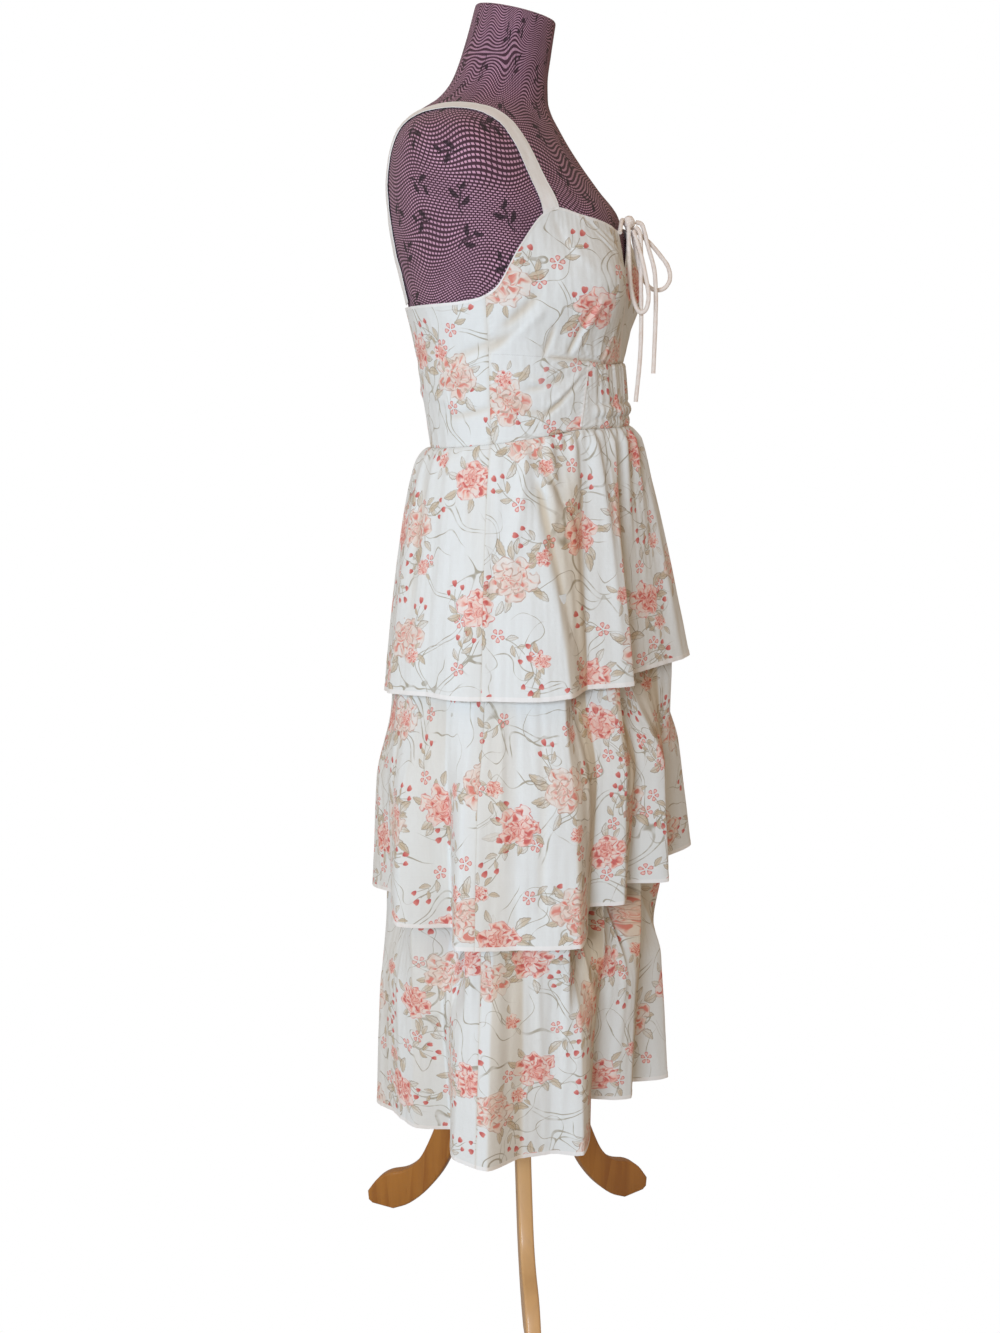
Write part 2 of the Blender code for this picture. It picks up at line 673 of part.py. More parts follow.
def build_tie(collection):
    bm = bmesh.new()
    bmesh.ops.create_uvsphere(bm, u_segments=12, v_segments=8, radius=1.0)
    bmesh.ops.scale(bm, verts=bm.verts, vec=KNOT_RADII)
    bmesh.ops.translate(bm, verts=bm.verts, vec=KNOT_CENTRE)
    new_object("tie_knot", bm, "tie_cotton", collection)
    build_cord("tie_loop_right", LOOP_RIGHT, collection)
    build_cord("tie_loop_left", LOOP_LEFT, collection)
    build_cord("tie_end_right", END_RIGHT, collection)
    build_cord("tie_end_left", END_LEFT, collection)
    build_cord("tie_lace_right", LACE, collection)
    build_cord("tie_lace_left", [(-x, y, z) for x, y, z in LACE], collection)


def cylinder(name, radius, bottom, top, finish, collection, sides=32):
    bm = bmesh.new()
    bmesh.ops.create_cone(
        bm, cap_ends=True, segments=sides, radius1=radius, radius2=radius, depth=top - bottom)
    bmesh.ops.translate(bm, verts=bm.verts, vec=(0.0, 0.0, 0.5 * (bottom + top)))
    return new_object(name, bm, finish, collection)


def build_leg(name, angle, collection):
    curve = bpy.data.curves.new(name, "CURVE")
    curve.dimensions = "2D"
    curve.fill_mode = "BOTH"
    curve.extrude = LEG_THICKNESS / 2.0
    spline = curve.splines.new("POLY")
    spline.use_cyclic_u = True
    spline.points.add(len(LEG_OUTLINE) - 1)
    for slot, (reach, height) in zip(spline.points, LEG_OUTLINE):
        slot.co = (reach, height, 0.0, 1.0)
    thing = bpy.data.objects.new(name, curve)
    thing.rotation_euler = (radians(90.0), 0.0, radians(-90.0 - angle))
    dress_up(thing, "beech")
    collection.objects.link(thing)
    return thing


def build_stand(collection):
    body_bottom = FORM_ROWS[0][0]
    plate_bottom = body_bottom - SEAM_GAP - PLATE_THICKNESS
    cylinder("form_plate", PLATE_RADIUS, plate_bottom, body_bottom - SEAM_GAP, "beech", collection)
    cylinder("stand_pole", POLE_RADIUS, HUB_TOP + SEAM_GAP, plate_bottom - SEAM_GAP, "beech", collection)
    cylinder("stand_hub", HUB_RADIUS, HUB_BOTTOM, HUB_TOP, "beech", collection)
    for number, angle in enumerate(LEG_ANGLES, start=1):
        build_leg("stand_leg_%d" % number, angle, collection)


def centre_on_floor(collection):
    # The origin is the middle of the whole object's box, on the floor
    depsgraph = bpy.context.evaluated_depsgraph_get()
    corners = []
    for thing in collection.objects:
        shape = thing.evaluated_get(depsgraph)
        mesh = shape.to_mesh()
        corners += [shape.matrix_world @ vert.co for vert in mesh.vertices]
        shape.to_mesh_clear()
    origin = bpy.data.objects.new("floor_centre", None)
    origin.location.x = -0.5 * (min(c.x for c in corners) + max(c.x for c in corners))
    origin.location.y = -0.5 * (min(c.y for c in corners) + max(c.y for c in corners))
    for thing in list(collection.objects):
        thing.parent = origin
    collection.objects.link(origin)


def main():
    clear_scene()
    collection = bpy.data.collections.new("milkmaid_dress")
    bpy.context.scene.collection.children.link(collection)
    form = build_form(collection)
    bpy.context.view_layer.update()
    build_bodice(collection)
    build_tiers(collection)
    build_strap("dress_strap_right", 1, form, collection)
    build_strap("dress_strap_left", -1, form, collection)
    build_tie(collection)
    build_stand(collection)
    bpy.context.view_layer.update()
    centre_on_floor(collection)


main()
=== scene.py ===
# Tiered milkmaid dress, worn by a covered dress form on a wooden tripod stand.
# The cloth lies on the shape of its solids, with finer folds, seams, hems and a printed pattern
from math import cos, hypot, pi, radians, sin, tau
import bpy
import bmesh
import numpy as np
from mathutils import Matrix, Vector, noise
from mathutils.bvhtree import BVHTree


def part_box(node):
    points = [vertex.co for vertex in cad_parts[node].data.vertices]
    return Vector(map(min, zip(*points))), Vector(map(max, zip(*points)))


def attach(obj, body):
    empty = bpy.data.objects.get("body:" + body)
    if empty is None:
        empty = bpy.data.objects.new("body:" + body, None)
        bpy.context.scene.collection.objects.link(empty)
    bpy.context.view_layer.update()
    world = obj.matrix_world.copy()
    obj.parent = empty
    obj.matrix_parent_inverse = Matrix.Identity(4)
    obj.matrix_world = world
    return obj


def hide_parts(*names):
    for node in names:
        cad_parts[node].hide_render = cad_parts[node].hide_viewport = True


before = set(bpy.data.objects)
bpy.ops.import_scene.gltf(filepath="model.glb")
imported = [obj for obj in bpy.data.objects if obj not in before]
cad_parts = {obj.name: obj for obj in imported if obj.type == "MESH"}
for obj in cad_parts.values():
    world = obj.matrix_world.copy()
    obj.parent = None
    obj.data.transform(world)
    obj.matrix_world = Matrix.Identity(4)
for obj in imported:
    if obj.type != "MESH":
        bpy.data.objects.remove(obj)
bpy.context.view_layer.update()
poleLow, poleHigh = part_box("stand_pole")
pole = np.array(((poleLow.x + poleHigh.x) / 2, (poleLow.y + poleHigh.y) / 2, 0.0))
print("frame loaded")


# Camera and room

camera = {
    "yaw": 16.0,          # degrees from the dress's side towards its front
    "pitch": 12.296,      # degrees below level
    "distance": 1.6606,   # level distance to the pole
    "height": 1.0992,
    "aside": 0.0198,      # the pole stands this far right of the view's middle
    "focal": 1475.0,      # in pixels of the photograph
    "longSide": 1333.0,
    "sensor": 36.0,
}


def makeCamera(settings):
    yaw = radians(settings["yaw"])
    away = Vector((cos(yaw), sin(yaw), 0.0))
    right = Vector((sin(yaw), -cos(yaw), 0.0))
    data = bpy.data.cameras.new("viewCamera")
    data.sensor_width = settings["sensor"]
    data.lens = settings["sensor"] * settings["focal"] / settings["longSide"]
    thing = bpy.data.objects.new("viewCamera", data)
    thing.location = Vector(pole) - away * settings["distance"] - right * settings["aside"]
    thing.location.z = settings["height"]
    pitch = radians(settings["pitch"])
    look = away * cos(pitch) - Vector((0.0, 0.0, sin(pitch)))
    thing.rotation_euler = look.to_track_quat("-Z", "Y").to_euler()
    bpy.context.scene.collection.objects.link(thing)
    bpy.context.scene.camera = thing
    return away, right


away, imageRight = makeCamera(camera)

room = {
    "floorSize": 60.0,
    "floorColor": (0.55, 0.55, 0.55, 1.0),
    "skyLight": (1.0, 0.72, 0.48, 1.0),
    "skyStrength": 0.48,
    "white": (1.0, 1.0, 1.0, 1.0),
    "floorGlow": 1.0,     # how much of the floor the camera sees as plain white
    "floorRoughness": 0.9,
    "aimHeight": 0.75,    # where the lights point
    # name, metres beyond the pole, metres to image right, height, size, watts, colour
    "lights": (
        ("keyLight", -3.0, -0.8, 1.55, 0.9, 64.0, (0.72, 0.82, 0.95)),
        ("farLight", 1.8, -1.6, 1.8, 1.6, 3.0, (0.80, 0.92, 1.0)),
        ("backLight", -1.0, -2.6, 1.2, 1.2, 11.0, (0.76, 0.87, 0.97)),
    ),
}


def makeRoom(settings):
    bm = bmesh.new()
    bmesh.ops.create_grid(bm, x_segments=1, y_segments=1, size=settings["floorSize"] / 2)
    mesh = bpy.data.meshes.new("floor")
    bm.to_mesh(mesh)
    bm.free()
    floor = bpy.data.objects.new("floor", mesh)
    bpy.context.scene.collection.objects.link(floor)
    paint = bpy.data.materials.new("paleFloor")
    paint.use_nodes = True
    shader = paint.node_tree.nodes["Principled BSDF"]
    shader.inputs["Base Color"].default_value = settings["floorColor"]
    shader.inputs["Roughness"].default_value = settings["floorRoughness"]
    nodes, links = paint.node_tree.nodes, paint.node_tree.links
    glow = nodes.new("ShaderNodeEmission")
    glow.inputs["Color"].default_value = settings["white"]
    share = nodes.new("ShaderNodeMath")
    share.operation = "MULTIPLY"
    share.inputs[1].default_value = settings["floorGlow"]
    mixed = nodes.new("ShaderNodeMixShader")
    links.new(nodes.new("ShaderNodeLightPath").outputs["Is Camera Ray"], share.inputs[0])
    links.new(share.outputs[0], mixed.inputs[0])
    links.new(shader.outputs[0], mixed.inputs[1])
    links.new(glow.outputs[0], mixed.inputs[2])
    links.new(mixed.outputs[0], nodes["Material Output"].inputs["Surface"])
    mesh.materials.append(paint)
    world = bpy.data.worlds.new("studio")
    world.use_nodes = True
    tree = world.node_tree
    sky = tree.nodes["Background"]
    sky.inputs["Color"].default_value = settings["skyLight"]
    sky.inputs["Strength"].default_value = settings["skyStrength"]
    seen = tree.nodes.new("ShaderNodeBackground")
    seen.inputs["Color"].default_value = settings["white"]
    path = tree.nodes.new("ShaderNodeLightPath")
    both = tree.nodes.new("ShaderNodeMixShader")
    tree.links.new(path.outputs["Is Camera Ray"], both.inputs[0])
    tree.links.new(sky.outputs[0], both.inputs[1])
    tree.links.new(seen.outputs[0], both.inputs[2])
    tree.links.new(both.outputs[0], tree.nodes["World Output"].inputs["Surface"])
    bpy.context.scene.world = world
    target = Vector(pole) + Vector((0.0, 0.0, settings["aimHeight"]))
    for name, far, aside, height, size, watts, color in settings["lights"]:
        data = bpy.data.lights.new(name, "AREA")
        data.shape = "SQUARE"
        data.size = size
        data.energy = watts
        data.color = color
        lamp = bpy.data.objects.new(name, data)
        lamp.location = Vector(pole) + away * far + imageRight * aside + Vector((0.0, 0.0, height))
        lamp.rotation_euler = (target - lamp.location).to_track_quat("-Z", "Y").to_euler()
        bpy.context.scene.collection.objects.link(lamp)
    bpy.context.scene.view_settings.view_transform = "Standard"


makeRoom(room)
print("camera and room made")


# Small helpers for curves of numbers

def smoothStep(value):
    value = np.clip(value, 0.0, 1.0)
    return value * value * (3.0 - 2.0 * value)


def bell(value):
    return np.exp(-value * value)


def steadySlope(before, after):
    # Slope at a knot between two rises, flat where they differ in sign
    both = before * after
    total = np.where(np.abs(before + after) < 1e-12, 1.0, before + after)
    return np.where(both > 0.0, 2.0 * both / total, 0.0)


def hermite(x, y, place, flatEnds=(False, False)):
    # x and y hold four knots round each place
    step = x[2] - x[1]
    rise = (y[2] - y[1]) / step
    first = steadySlope((y[1] - y[0]) / np.maximum(x[1] - x[0], 1e-9), rise)
    last = steadySlope(rise, (y[3] - y[2]) / np.maximum(x[3] - x[2], 1e-9))
    first = np.where(flatEnds[0], rise, first)
    last = np.where(flatEnds[1], rise, last)
    t = (place - x[1]) / step
    keep = y[1] * (1 + 2 * t) * (1 - t) ** 2 + y[2] * t * t * (3 - 2 * t)
    return keep + step * (first * t * (1 - t) ** 2 - last * t * t * (1 - t))


def curveThrough(rows, place, column=1):
    # Smooth curve through a table's rows that never overshoots them
    table = np.array(rows, float)
    x, y = table[:, 0], table[:, column]
    place = np.clip(np.asarray(place, float), x[0], x[-1])
    index = np.clip(np.searchsorted(x, place, side="left") - 1, 0, len(x) - 2)
    knots = [np.clip(index + k, 0, len(x) - 1) for k in (-1, 0, 1, 2)]
    ends = (index == 0, index == len(x) - 2)
    return hermite([x[k] for k in knots], [y[k] for k in knots], place, ends)


def folded(angle):
    # Both sides of the dress share one table: 0 at the front, 180 at the back
    angle = np.abs(angle) % 360.0
    return np.where(angle <= 180.0, angle, 360.0 - angle)


def mirrored(rows, angle):
    return curveThrough(rows, folded(angle))


def roundPole(angle, radius, height, centreY=0.0):
    turn = np.radians(angle)
    across = -radius * np.sin(turn)
    depth = centreY - radius * np.cos(turn)
    return np.stack((across, depth, height + 0.0 * across), -1)


# The dress form's shape, the same rows as its solid:
# height, half width, front, back, widest, front power, tilt
formRows = (
    (0.700, 0.122, 0.094, 0.102, 0.000, 2.0, 0.00),
    (0.760, 0.140, 0.104, 0.112, 0.000, 2.0, 0.00),
    (0.830, 0.145, 0.109, 0.115, 0.000, 2.0, 0.00),
    (0.900, 0.136, 0.110, 0.106, 0.000, 2.0, 0.00),
    (0.960, 0.121, 0.110, 0.093, 0.000, 2.0, 0.00),
    (1.000, 0.1145, 0.112, 0.0885, 0.000, 2.0, 0.00),
    (1.050, 0.121, 0.112, 0.098, 0.000, 2.0, 0.00),
    (1.095, 0.128, 0.110, 0.107, 0.000, 2.0, 0.00),
    (1.130, 0.136, 0.109, 0.115, 0.000, 2.0, 0.00),
    (1.165, 0.142, 0.107, 0.124, 0.000, 1.9, 0.00),
    (1.200, 0.147, 0.106, 0.133, 0.000, 1.7, 0.00),
    (1.232, 0.152, 0.104, 0.137, 0.002, 1.6, 0.00),
    (1.262, 0.156, 0.084, 0.138, 0.006, 1.6, 0.00),
    (1.290, 0.154, 0.063, 0.134, 0.014, 1.7, 0.00),
    (1.312, 0.142, 0.048, 0.127, 0.024, 1.8, 0.00),
    (1.328, 0.116, 0.039, 0.118, 0.033, 1.9, 0.00),
    (1.340, 0.086, 0.033, 0.108, 0.036, 2.0, 0.00),
    (1.354, 0.064, 0.030, 0.086, 0.028, 2.0, 0.02),
    (1.372, 0.052, 0.030, 0.071, 0.020, 2.0, 0.05),
    (1.405, 0.046, 0.034, 0.057, 0.011, 2.0, 0.12),
    (1.440, 0.044, 0.039, 0.045, 0.003, 2.0, 0.22),
)
bustShape = {"angle": 31.0, "height": 1.163, "depth": 0.027, "spread": 26.35, "above": 0.060, "below": 0.050}


def bust(angle, height):
    shape = bustShape
    across = (folded(angle) - shape["angle"]) / shape["spread"]
    spread = np.where(height > shape["height"], shape["above"], shape["below"])
    return shape["depth"] * np.exp(-across ** 2 - ((height - shape["height"]) / spread) ** 2)


def bodyRadius(angle, height):
    halfWidth, front, back, widest, power = (curveThrough(formRows, height, k) for k in range(1, 6))
    turn = np.radians(angle)
    ahead = np.cos(turn) > 0.0
    depth = np.where(ahead, front + widest, back - widest)
    power = np.where(ahead, power, 2.0)
    spread = (np.abs(np.sin(turn)) / halfWidth) ** power + (np.abs(np.cos(turn)) / depth) ** power
    return spread ** (-1.0 / power) + bust(angle, height)


# The dress's own lines: angle from centre front, height
garment = {
    "wall": 0.0015,       # what the solids' cloth measures
    "gap": 0.00005,       # between pieces sewn together
    "ease": 0.0021,
    "layerGap": 0.0008,
    "clothThickness": 0.0006,
    "sideSeam": 88.0,
    "waistSize": (0.1210, 0.1225, 0.0940),
    "princessTop": (1.083, 37.0),
    "princessWaist": (1.013, 42.0),
}
topEdge = (
    (2.0, 1.214), (12.0, 1.216), (26.0, 1.222), (45.0, 1.229), (57.0, 1.234), (64.0, 1.227),
    (74.0, 1.196), (84.0, 1.155), (92.0, 1.145), (106.0, 1.141), (150.0, 1.138), (180.0, 1.137),
)
underBust = ((0.0, 1.080), (20.0, 1.079), (38.0, 1.083), (60.0, 1.087), (88.0, 1.090), (180.0, 1.090))
waistLine = ((0.0, 1.013), (40.0, 1.013), (60.0, 1.007), (90.0, 0.998), (130.0, 0.991), (180.0, 0.988))
# Between the cups: height, angle
keyhole = ((1.080, 0.15), (1.165, 0.15), (1.182, 2.0), (1.200, 7.0), (1.216, 11.5))


def waistRadius(angle):
    halfWidth, front, back = garment["waistSize"]
    turn = np.radians(angle)
    depth = np.where(np.cos(turn) > 0.0, front, back)
    return 1.0 / np.hypot(np.sin(turn) / halfWidth, np.cos(turn) / depth)


def bodiceRadius(angle, height):
    out = garment["ease"] + garment["wall"]
    close = bodyRadius(angle, height) + out
    seam = mirrored(waistLine, angle)
    under = mirrored(underBust, angle)
    share = (height - seam) / (under - seam)
    straight = waistRadius(angle) * (1.0 - share) + (bodyRadius(angle, under) + out) * share
    return np.where(height >= under, close, np.maximum(close, straight))


def waver(x, y, seed):
    # Smooth uneven values from -1 to 1
    flat = zip(np.ravel(x), np.ravel(y))
    values = [noise.noise(Vector((a, b, seed))) for a, b in flat]
    return np.array(values).reshape(np.shape(x)) * 1.6


# Materials

def plug(tree, slot, value):
    if isinstance(value, Field):
        tree.links.new(value.socket, slot)
    elif isinstance(value, bpy.types.NodeSocket):
        tree.links.new(value, slot)
    elif hasattr(value, "__len__") and slot.type == "RGBA":
        slot.default_value = (*value[:3], 1.0)
    else:
        slot.default_value = value


class Field:
    # A number that changes over the surface, worked out with Math nodes
    def __init__(self, tree, socket):
        self.tree = tree
        self.socket = socket

    def math(self, operation, *others):
        node = self.tree.nodes.new("ShaderNodeMath")
        node.operation = operation
        for slot, value in zip(node.inputs, (self, *others)):
            plug(self.tree, slot, value)
        return Field(self.tree, node.outputs[0])

    def __add__(self, other):
        return self.math("ADD", other)

    def __sub__(self, other):
        return self.math("SUBTRACT", other)

    def __mul__(self, other):
        return self.math("MULTIPLY", other)

    def __truediv__(self, other):
        return self.math("DIVIDE", other)

    def power(self, other):
        return self.math("POWER", other)

    def size(self):
        return self.math("ABSOLUTE")

    def sine(self):
        return self.math("SINE")

    def cosine(self):
        return self.math("COSINE")

    def floor(self):
        return self.math("FLOOR")

    def fraction(self):
        return self.math("FRACT")

    def least(self, other):
        return self.math("MINIMUM", other)

    def most(self, other):
        return self.math("MAXIMUM", other)

    def step(self, low, high):
        # 0 below low, 1 above high, smooth between
        node = self.tree.nodes.new("ShaderNodeMapRange")
        node.interpolation_type = "SMOOTHSTEP"
        plug(self.tree, node.inputs["Value"], self)
        plug(self.tree, node.inputs["From Min"], low)
        plug(self.tree, node.inputs["From Max"], high)
        return Field(self.tree, node.outputs["Result"])


def newGroup(name, inputs, outputs):
    # inputs: name and socket kind; outputs the same. Gives the tree and its ends
    tree = bpy.data.node_groups.new(name, "ShaderNodeTree")
    for label, kind in inputs:
        tree.interface.new_socket(label, in_out="INPUT", socket_type=kind)
    for label, kind in outputs:
        tree.interface.new_socket(label, in_out="OUTPUT", socket_type=kind)
    start = tree.nodes.new("NodeGroupInput")
    end = tree.nodes.new("NodeGroupOutput")
    return tree, start, end


def placeGroup(tree, group, **values):
    node = tree.nodes.new("ShaderNodeGroup")
    node.node_tree = group
    for label, value in values.items():
        plug(tree, node.inputs[label], value)
    return node


def splitVector(tree, socket):
    node = tree.nodes.new("ShaderNodeSeparateXYZ")
    plug(tree, node.inputs[0], socket)
    return [Field(tree, output) for output in node.outputs]


def joinVector(tree, x, y, z=0.0):
    node = tree.nodes.new("ShaderNodeCombineXYZ")
    for slot, value in zip(node.inputs, (x, y, z)):
        plug(tree, slot, value)
    return node.outputs[0]


def mixColor(tree, share, first, second, blend="MIX"):
    node = tree.nodes.new("ShaderNodeMix")
    node.data_type = "RGBA"
    node.blend_type = blend
    plug(tree, node.inputs[0], share)
    plug(tree, node.inputs[6], first)
    plug(tree, node.inputs[7], second)
    return node.outputs[2]


def colorRamp(tree, value, stops):
    node = tree.nodes.new("ShaderNodeValToRGB")
    ramp = node.color_ramp
    while len(ramp.elements) < len(stops):
        ramp.elements.new(0.5)
    for element, (place, color) in zip(ramp.elements, stops):
        element.position = place
        element.color = (*color, 1.0)
    plug(tree, node.inputs[0], value)
    return node.outputs[0]


def noiseField(tree, vector, scale, detail=1.0, dimensions="2D"):
    node = tree.nodes.new("ShaderNodeTexNoise")
    node.noise_dimensions = dimensions
    plug(tree, node.inputs["Vector"], vector)
    node.inputs["Scale"].default_value = scale
    node.inputs["Detail"].default_value = detail
    return Field(tree, node.outputs[0])


def randomField(tree, x, y, seed):
    node = tree.nodes.new("ShaderNodeTexWhiteNoise")
    node.noise_dimensions = "3D"
    plug(tree, node.inputs["Vector"], joinVector(tree, x, y, seed))
    split = tree.nodes.new("ShaderNodeSeparateColor")
    tree.links.new(node.outputs["Color"], split.inputs[0])
    return [Field(tree, output) for output in split.outputs]


def printCell(tree, x, y, size, jitter, seed):
    # Half-drop cells: the place inside a cell, measured from its shifted middle, and randoms
    column = (x / size).floor()
    dropped = y + (column * 0.5).fraction() * size
    row = (dropped / size).floor()
    randoms = randomField(tree, column, row, seed)
    localX = x - (column + 0.5) * size - (randoms[0] - 0.5) * jitter
    localY = dropped - (row + 0.5) * size - (randoms[1] - 0.5) * jitter
    return localX, localY, randoms


def turned(x, y, turn):
    c, s = (cos(turn), sin(turn)) if isinstance(turn, float) else (turn.cosine(), turn.sine())
    return x * c + y * s, y * c - x * s


def makeLeafGroup():
    # One leaf from X 0 to 1, with Y across in the same unit
    tree, start, end = newGroup(
        "leafMotif", (("X", "NodeSocketFloat"), ("Y", "NodeSocketFloat")),
        (("Mask", "NodeSocketFloat"), ("Line", "NodeSocketFloat")))
    x, y = Field(tree, start.outputs[0]), Field(tree, start.outputs[1])
    y = y - (x * pi).sine() * 0.09
    inside = x.most(0.0).least(1.0)
    rest = inside * -1.0 + 1.0
    half = inside * rest.power(1.1) * 0.84 * ((x * 29.0).sine() * 0.07 + 1.0)
    within = x.step(0.0, 0.03) * rest.step(0.0, 0.03)
    inner = half - y.size()
    mask = inner.step(0.0, 0.03) * within
    outline = (inner.size() * -1.0 + 0.036).step(0.0, 0.025)
    rib = (y.size() * -1.0 + 0.020).step(0.0, 0.018)
    veins = ((y.size() * 1.2 - x) * 38.0).sine().step(0.72, 1.0) * 0.5
    upper = y.step(-0.01, 0.03)
    line = (outline * (upper * 0.5 + 0.5)).most(rib * inner.step(-0.02, 0.0)).most(veins * mask * upper)
    tree.links.new(mask.socket, end.inputs[0])
    tree.links.new((line * within).socket, end.inputs[1])
    return tree


def makeFlowerGroup():
    # A drawn flower of radius 1: outlined rings of pale petals with strokes of colour at their roots
    tree, start, end = newGroup(
        "flowerMotif", (("X", "NodeSocketFloat"), ("Y", "NodeSocketFloat"), ("Seed", "NodeSocketFloat")),
        (("Mask", "NodeSocketFloat"), ("Shade", "NodeSocketFloat"), ("Line", "NodeSocketFloat")))
    x, y, seed = (Field(tree, output) for output in list(start.outputs)[:3])
    x, y = turned(x, y, seed * tau)
    bend = tree.nodes.new("ShaderNodeTexNoise")
    bend.noise_dimensions = "2D"
    tree.links.new(joinVector(tree, x + seed * 37.0, y), bend.inputs["Vector"])
    bend.inputs["Scale"].default_value = 2.3
    bend.inputs["Detail"].default_value = 1.0
    split = tree.nodes.new("ShaderNodeSeparateColor")
    tree.links.new(bend.outputs["Color"], split.inputs[0])
    x = x + (Field(tree, split.outputs[0]) - 0.5) * 0.44
    y = y + (Field(tree, split.outputs[1]) - 0.5) * 0.44
    broken = noiseField(tree, joinVector(tree, x + seed * 11.0, y), 4.5, 1.0).step(0.34, 0.56)
    shade = None
    line = None
    mask = None
    # radius, petals, how deep the notches are, turn, middle's shift
    rings = (
        (0.96, 5.0, 0.32, 0.4, 0.00), (0.71, 5.0, 0.28, 1.9, 0.06), (0.46, 4.0, 0.28, 3.1, 0.11),
        (0.24, 3.0, 0.30, 0.9, 0.14),
    )
    for number, (radius, petals, notch, turn, shift) in enumerate(rings):
        offX = x - shift
        offY = y + shift * 0.6
        reach = (offX * offX + offY * offY).power(0.5)
        around = offY.math("ARCTAN2", offX)
        lobe = (around * (petals * 0.5) + seed * 9.0 + turn).sine().size().power(0.55)
        edge = lobe * (radius * notch) + radius * (1.0 - notch)
        depth = (edge - reach) / 0.33
        inside = depth.step(0.0, 0.05)
        rays = joinVector(
            tree, offX / (reach + 0.01) * 3.4, offY / (reach + 0.01) * 3.4, reach * 1.1 + seed * 5.0 + turn)
        stroke = noiseField(tree, rays, 1.0, 1.0, "3D").step(0.40, 0.66)
        tone = depth.most(0.0) * (stroke * 1.5 + 0.06) + x * 0.13 + 0.10 * number
        rim = (depth * -1.0 + 0.22).step(0.0, 0.10) * inside * (broken * 0.75 + 0.25)
        if shade is None:
            mask, shade, line = inside, tone, rim
        else:
            shade = shade + (tone - shade) * inside
            line = line + (rim - line) * inside
    tree.links.new(mask.socket, end.inputs[0])
    tree.links.new(shade.least(1.0).most(0.0).socket, end.inputs[1])
    tree.links.new(line.socket, end.inputs[2])
    return tree


printPattern = {
    "ground": (0.758, 0.810, 0.818),
    "vine": (0.40, 0.385, 0.32),
    "leafPale": (0.58, 0.49, 0.35),
    "leafDark": (0.25, 0.19, 0.12),
    "rose": (
        (0.0, (0.82, 0.765, 0.74)), (0.26, (0.86, 0.64, 0.58)),
        (0.58, (0.79, 0.31, 0.25)), (1.0, (0.60, 0.085, 0.075)),
    ),
    "roseLine": (0.62, 0.12, 0.11),
    "peony": (
        (0.0, (0.78, 0.77, 0.745)), (0.40, (0.79, 0.66, 0.59)), (1.0, (0.70, 0.22, 0.17)),
    ),
    "peonyLine": (0.46, 0.26, 0.19),
    "blossom": (0.82, 0.56, 0.52),
    "blossomRim": (0.62, 0.130, 0.125),
    "bud": (0.70, 0.25, 0.22),
    "budRoot": (0.54, 0.105, 0.105),
    "leafFill": 0.80,
    "leafStroke": 0.75,
    "sprigCell": 0.066,
    # Peonies, rosettes and roses: cell, shift across, shift up, seed, radius, colours and rings
    # of leaves, each with its count, where they start and how long they are (in radii), how
    # likely each leaf is, and a seed
    "flowers": (
        (0.140, 0.074, 0.041, 21.0, 0.0300, "peony", (
            (11, 0.66, 0.62, 0.45, 22.0), (9, 0.84, 0.72, 0.36, 23.0))),
        (0.104, 0.031, 0.067, 47.0, 0.0110, "rose", ((7, 0.85, 1.15, 0.50, 48.0),)),
        (0.140, 0.0, 0.0, 5.0, 0.0260, "rose", (
            (11, 0.66, 0.66, 0.45, 6.0), (9, 0.84, 0.80, 0.36, 7.0))),
    ),
}


def drawnLine(x, y, start, end, width):
    # A straight stroke between two points of the print
    length = hypot(end[0] - start[0], end[1] - start[1])
    c, s = (end[0] - start[0]) / length, (end[1] - start[1]) / length
    along = (x - start[0]) * c + (y - start[1]) * s
    off = (y - start[1]) * c - (x - start[0]) * s
    within = along.step(0.0, 0.0006) * (along * -1.0 + length).step(0.0, 0.0006)
    return (off.size() * -1.0 + width).step(0.0, width * 0.6) * within


def leafRing(tree, leafGroup, x, y, count, start, length, randoms, seed, likely):
    # Leaves that point outwards round a flower; some are missing and lengths differ
    reach = (x * x + y * y).power(0.5)
    around = y.math("ARCTAN2", x) / tau + 0.5
    spread = around * float(count)
    number = spread.floor()
    pick = randomField(tree, number, randoms[2] * 91.0, seed)
    swing = (spread - number - 0.5 + (pick[1] - 0.5) * 0.35) * (tau / count)
    long = pick[2] * (length * 0.35) + length * 0.75
    leaf = placeGroup(
        tree, leafGroup, X=(swing.cosine() * reach - start) / long, Y=swing.sine() * reach / long)
    return leaf, (pick[0] * -1.0 + likely).step(0.0, 0.01)


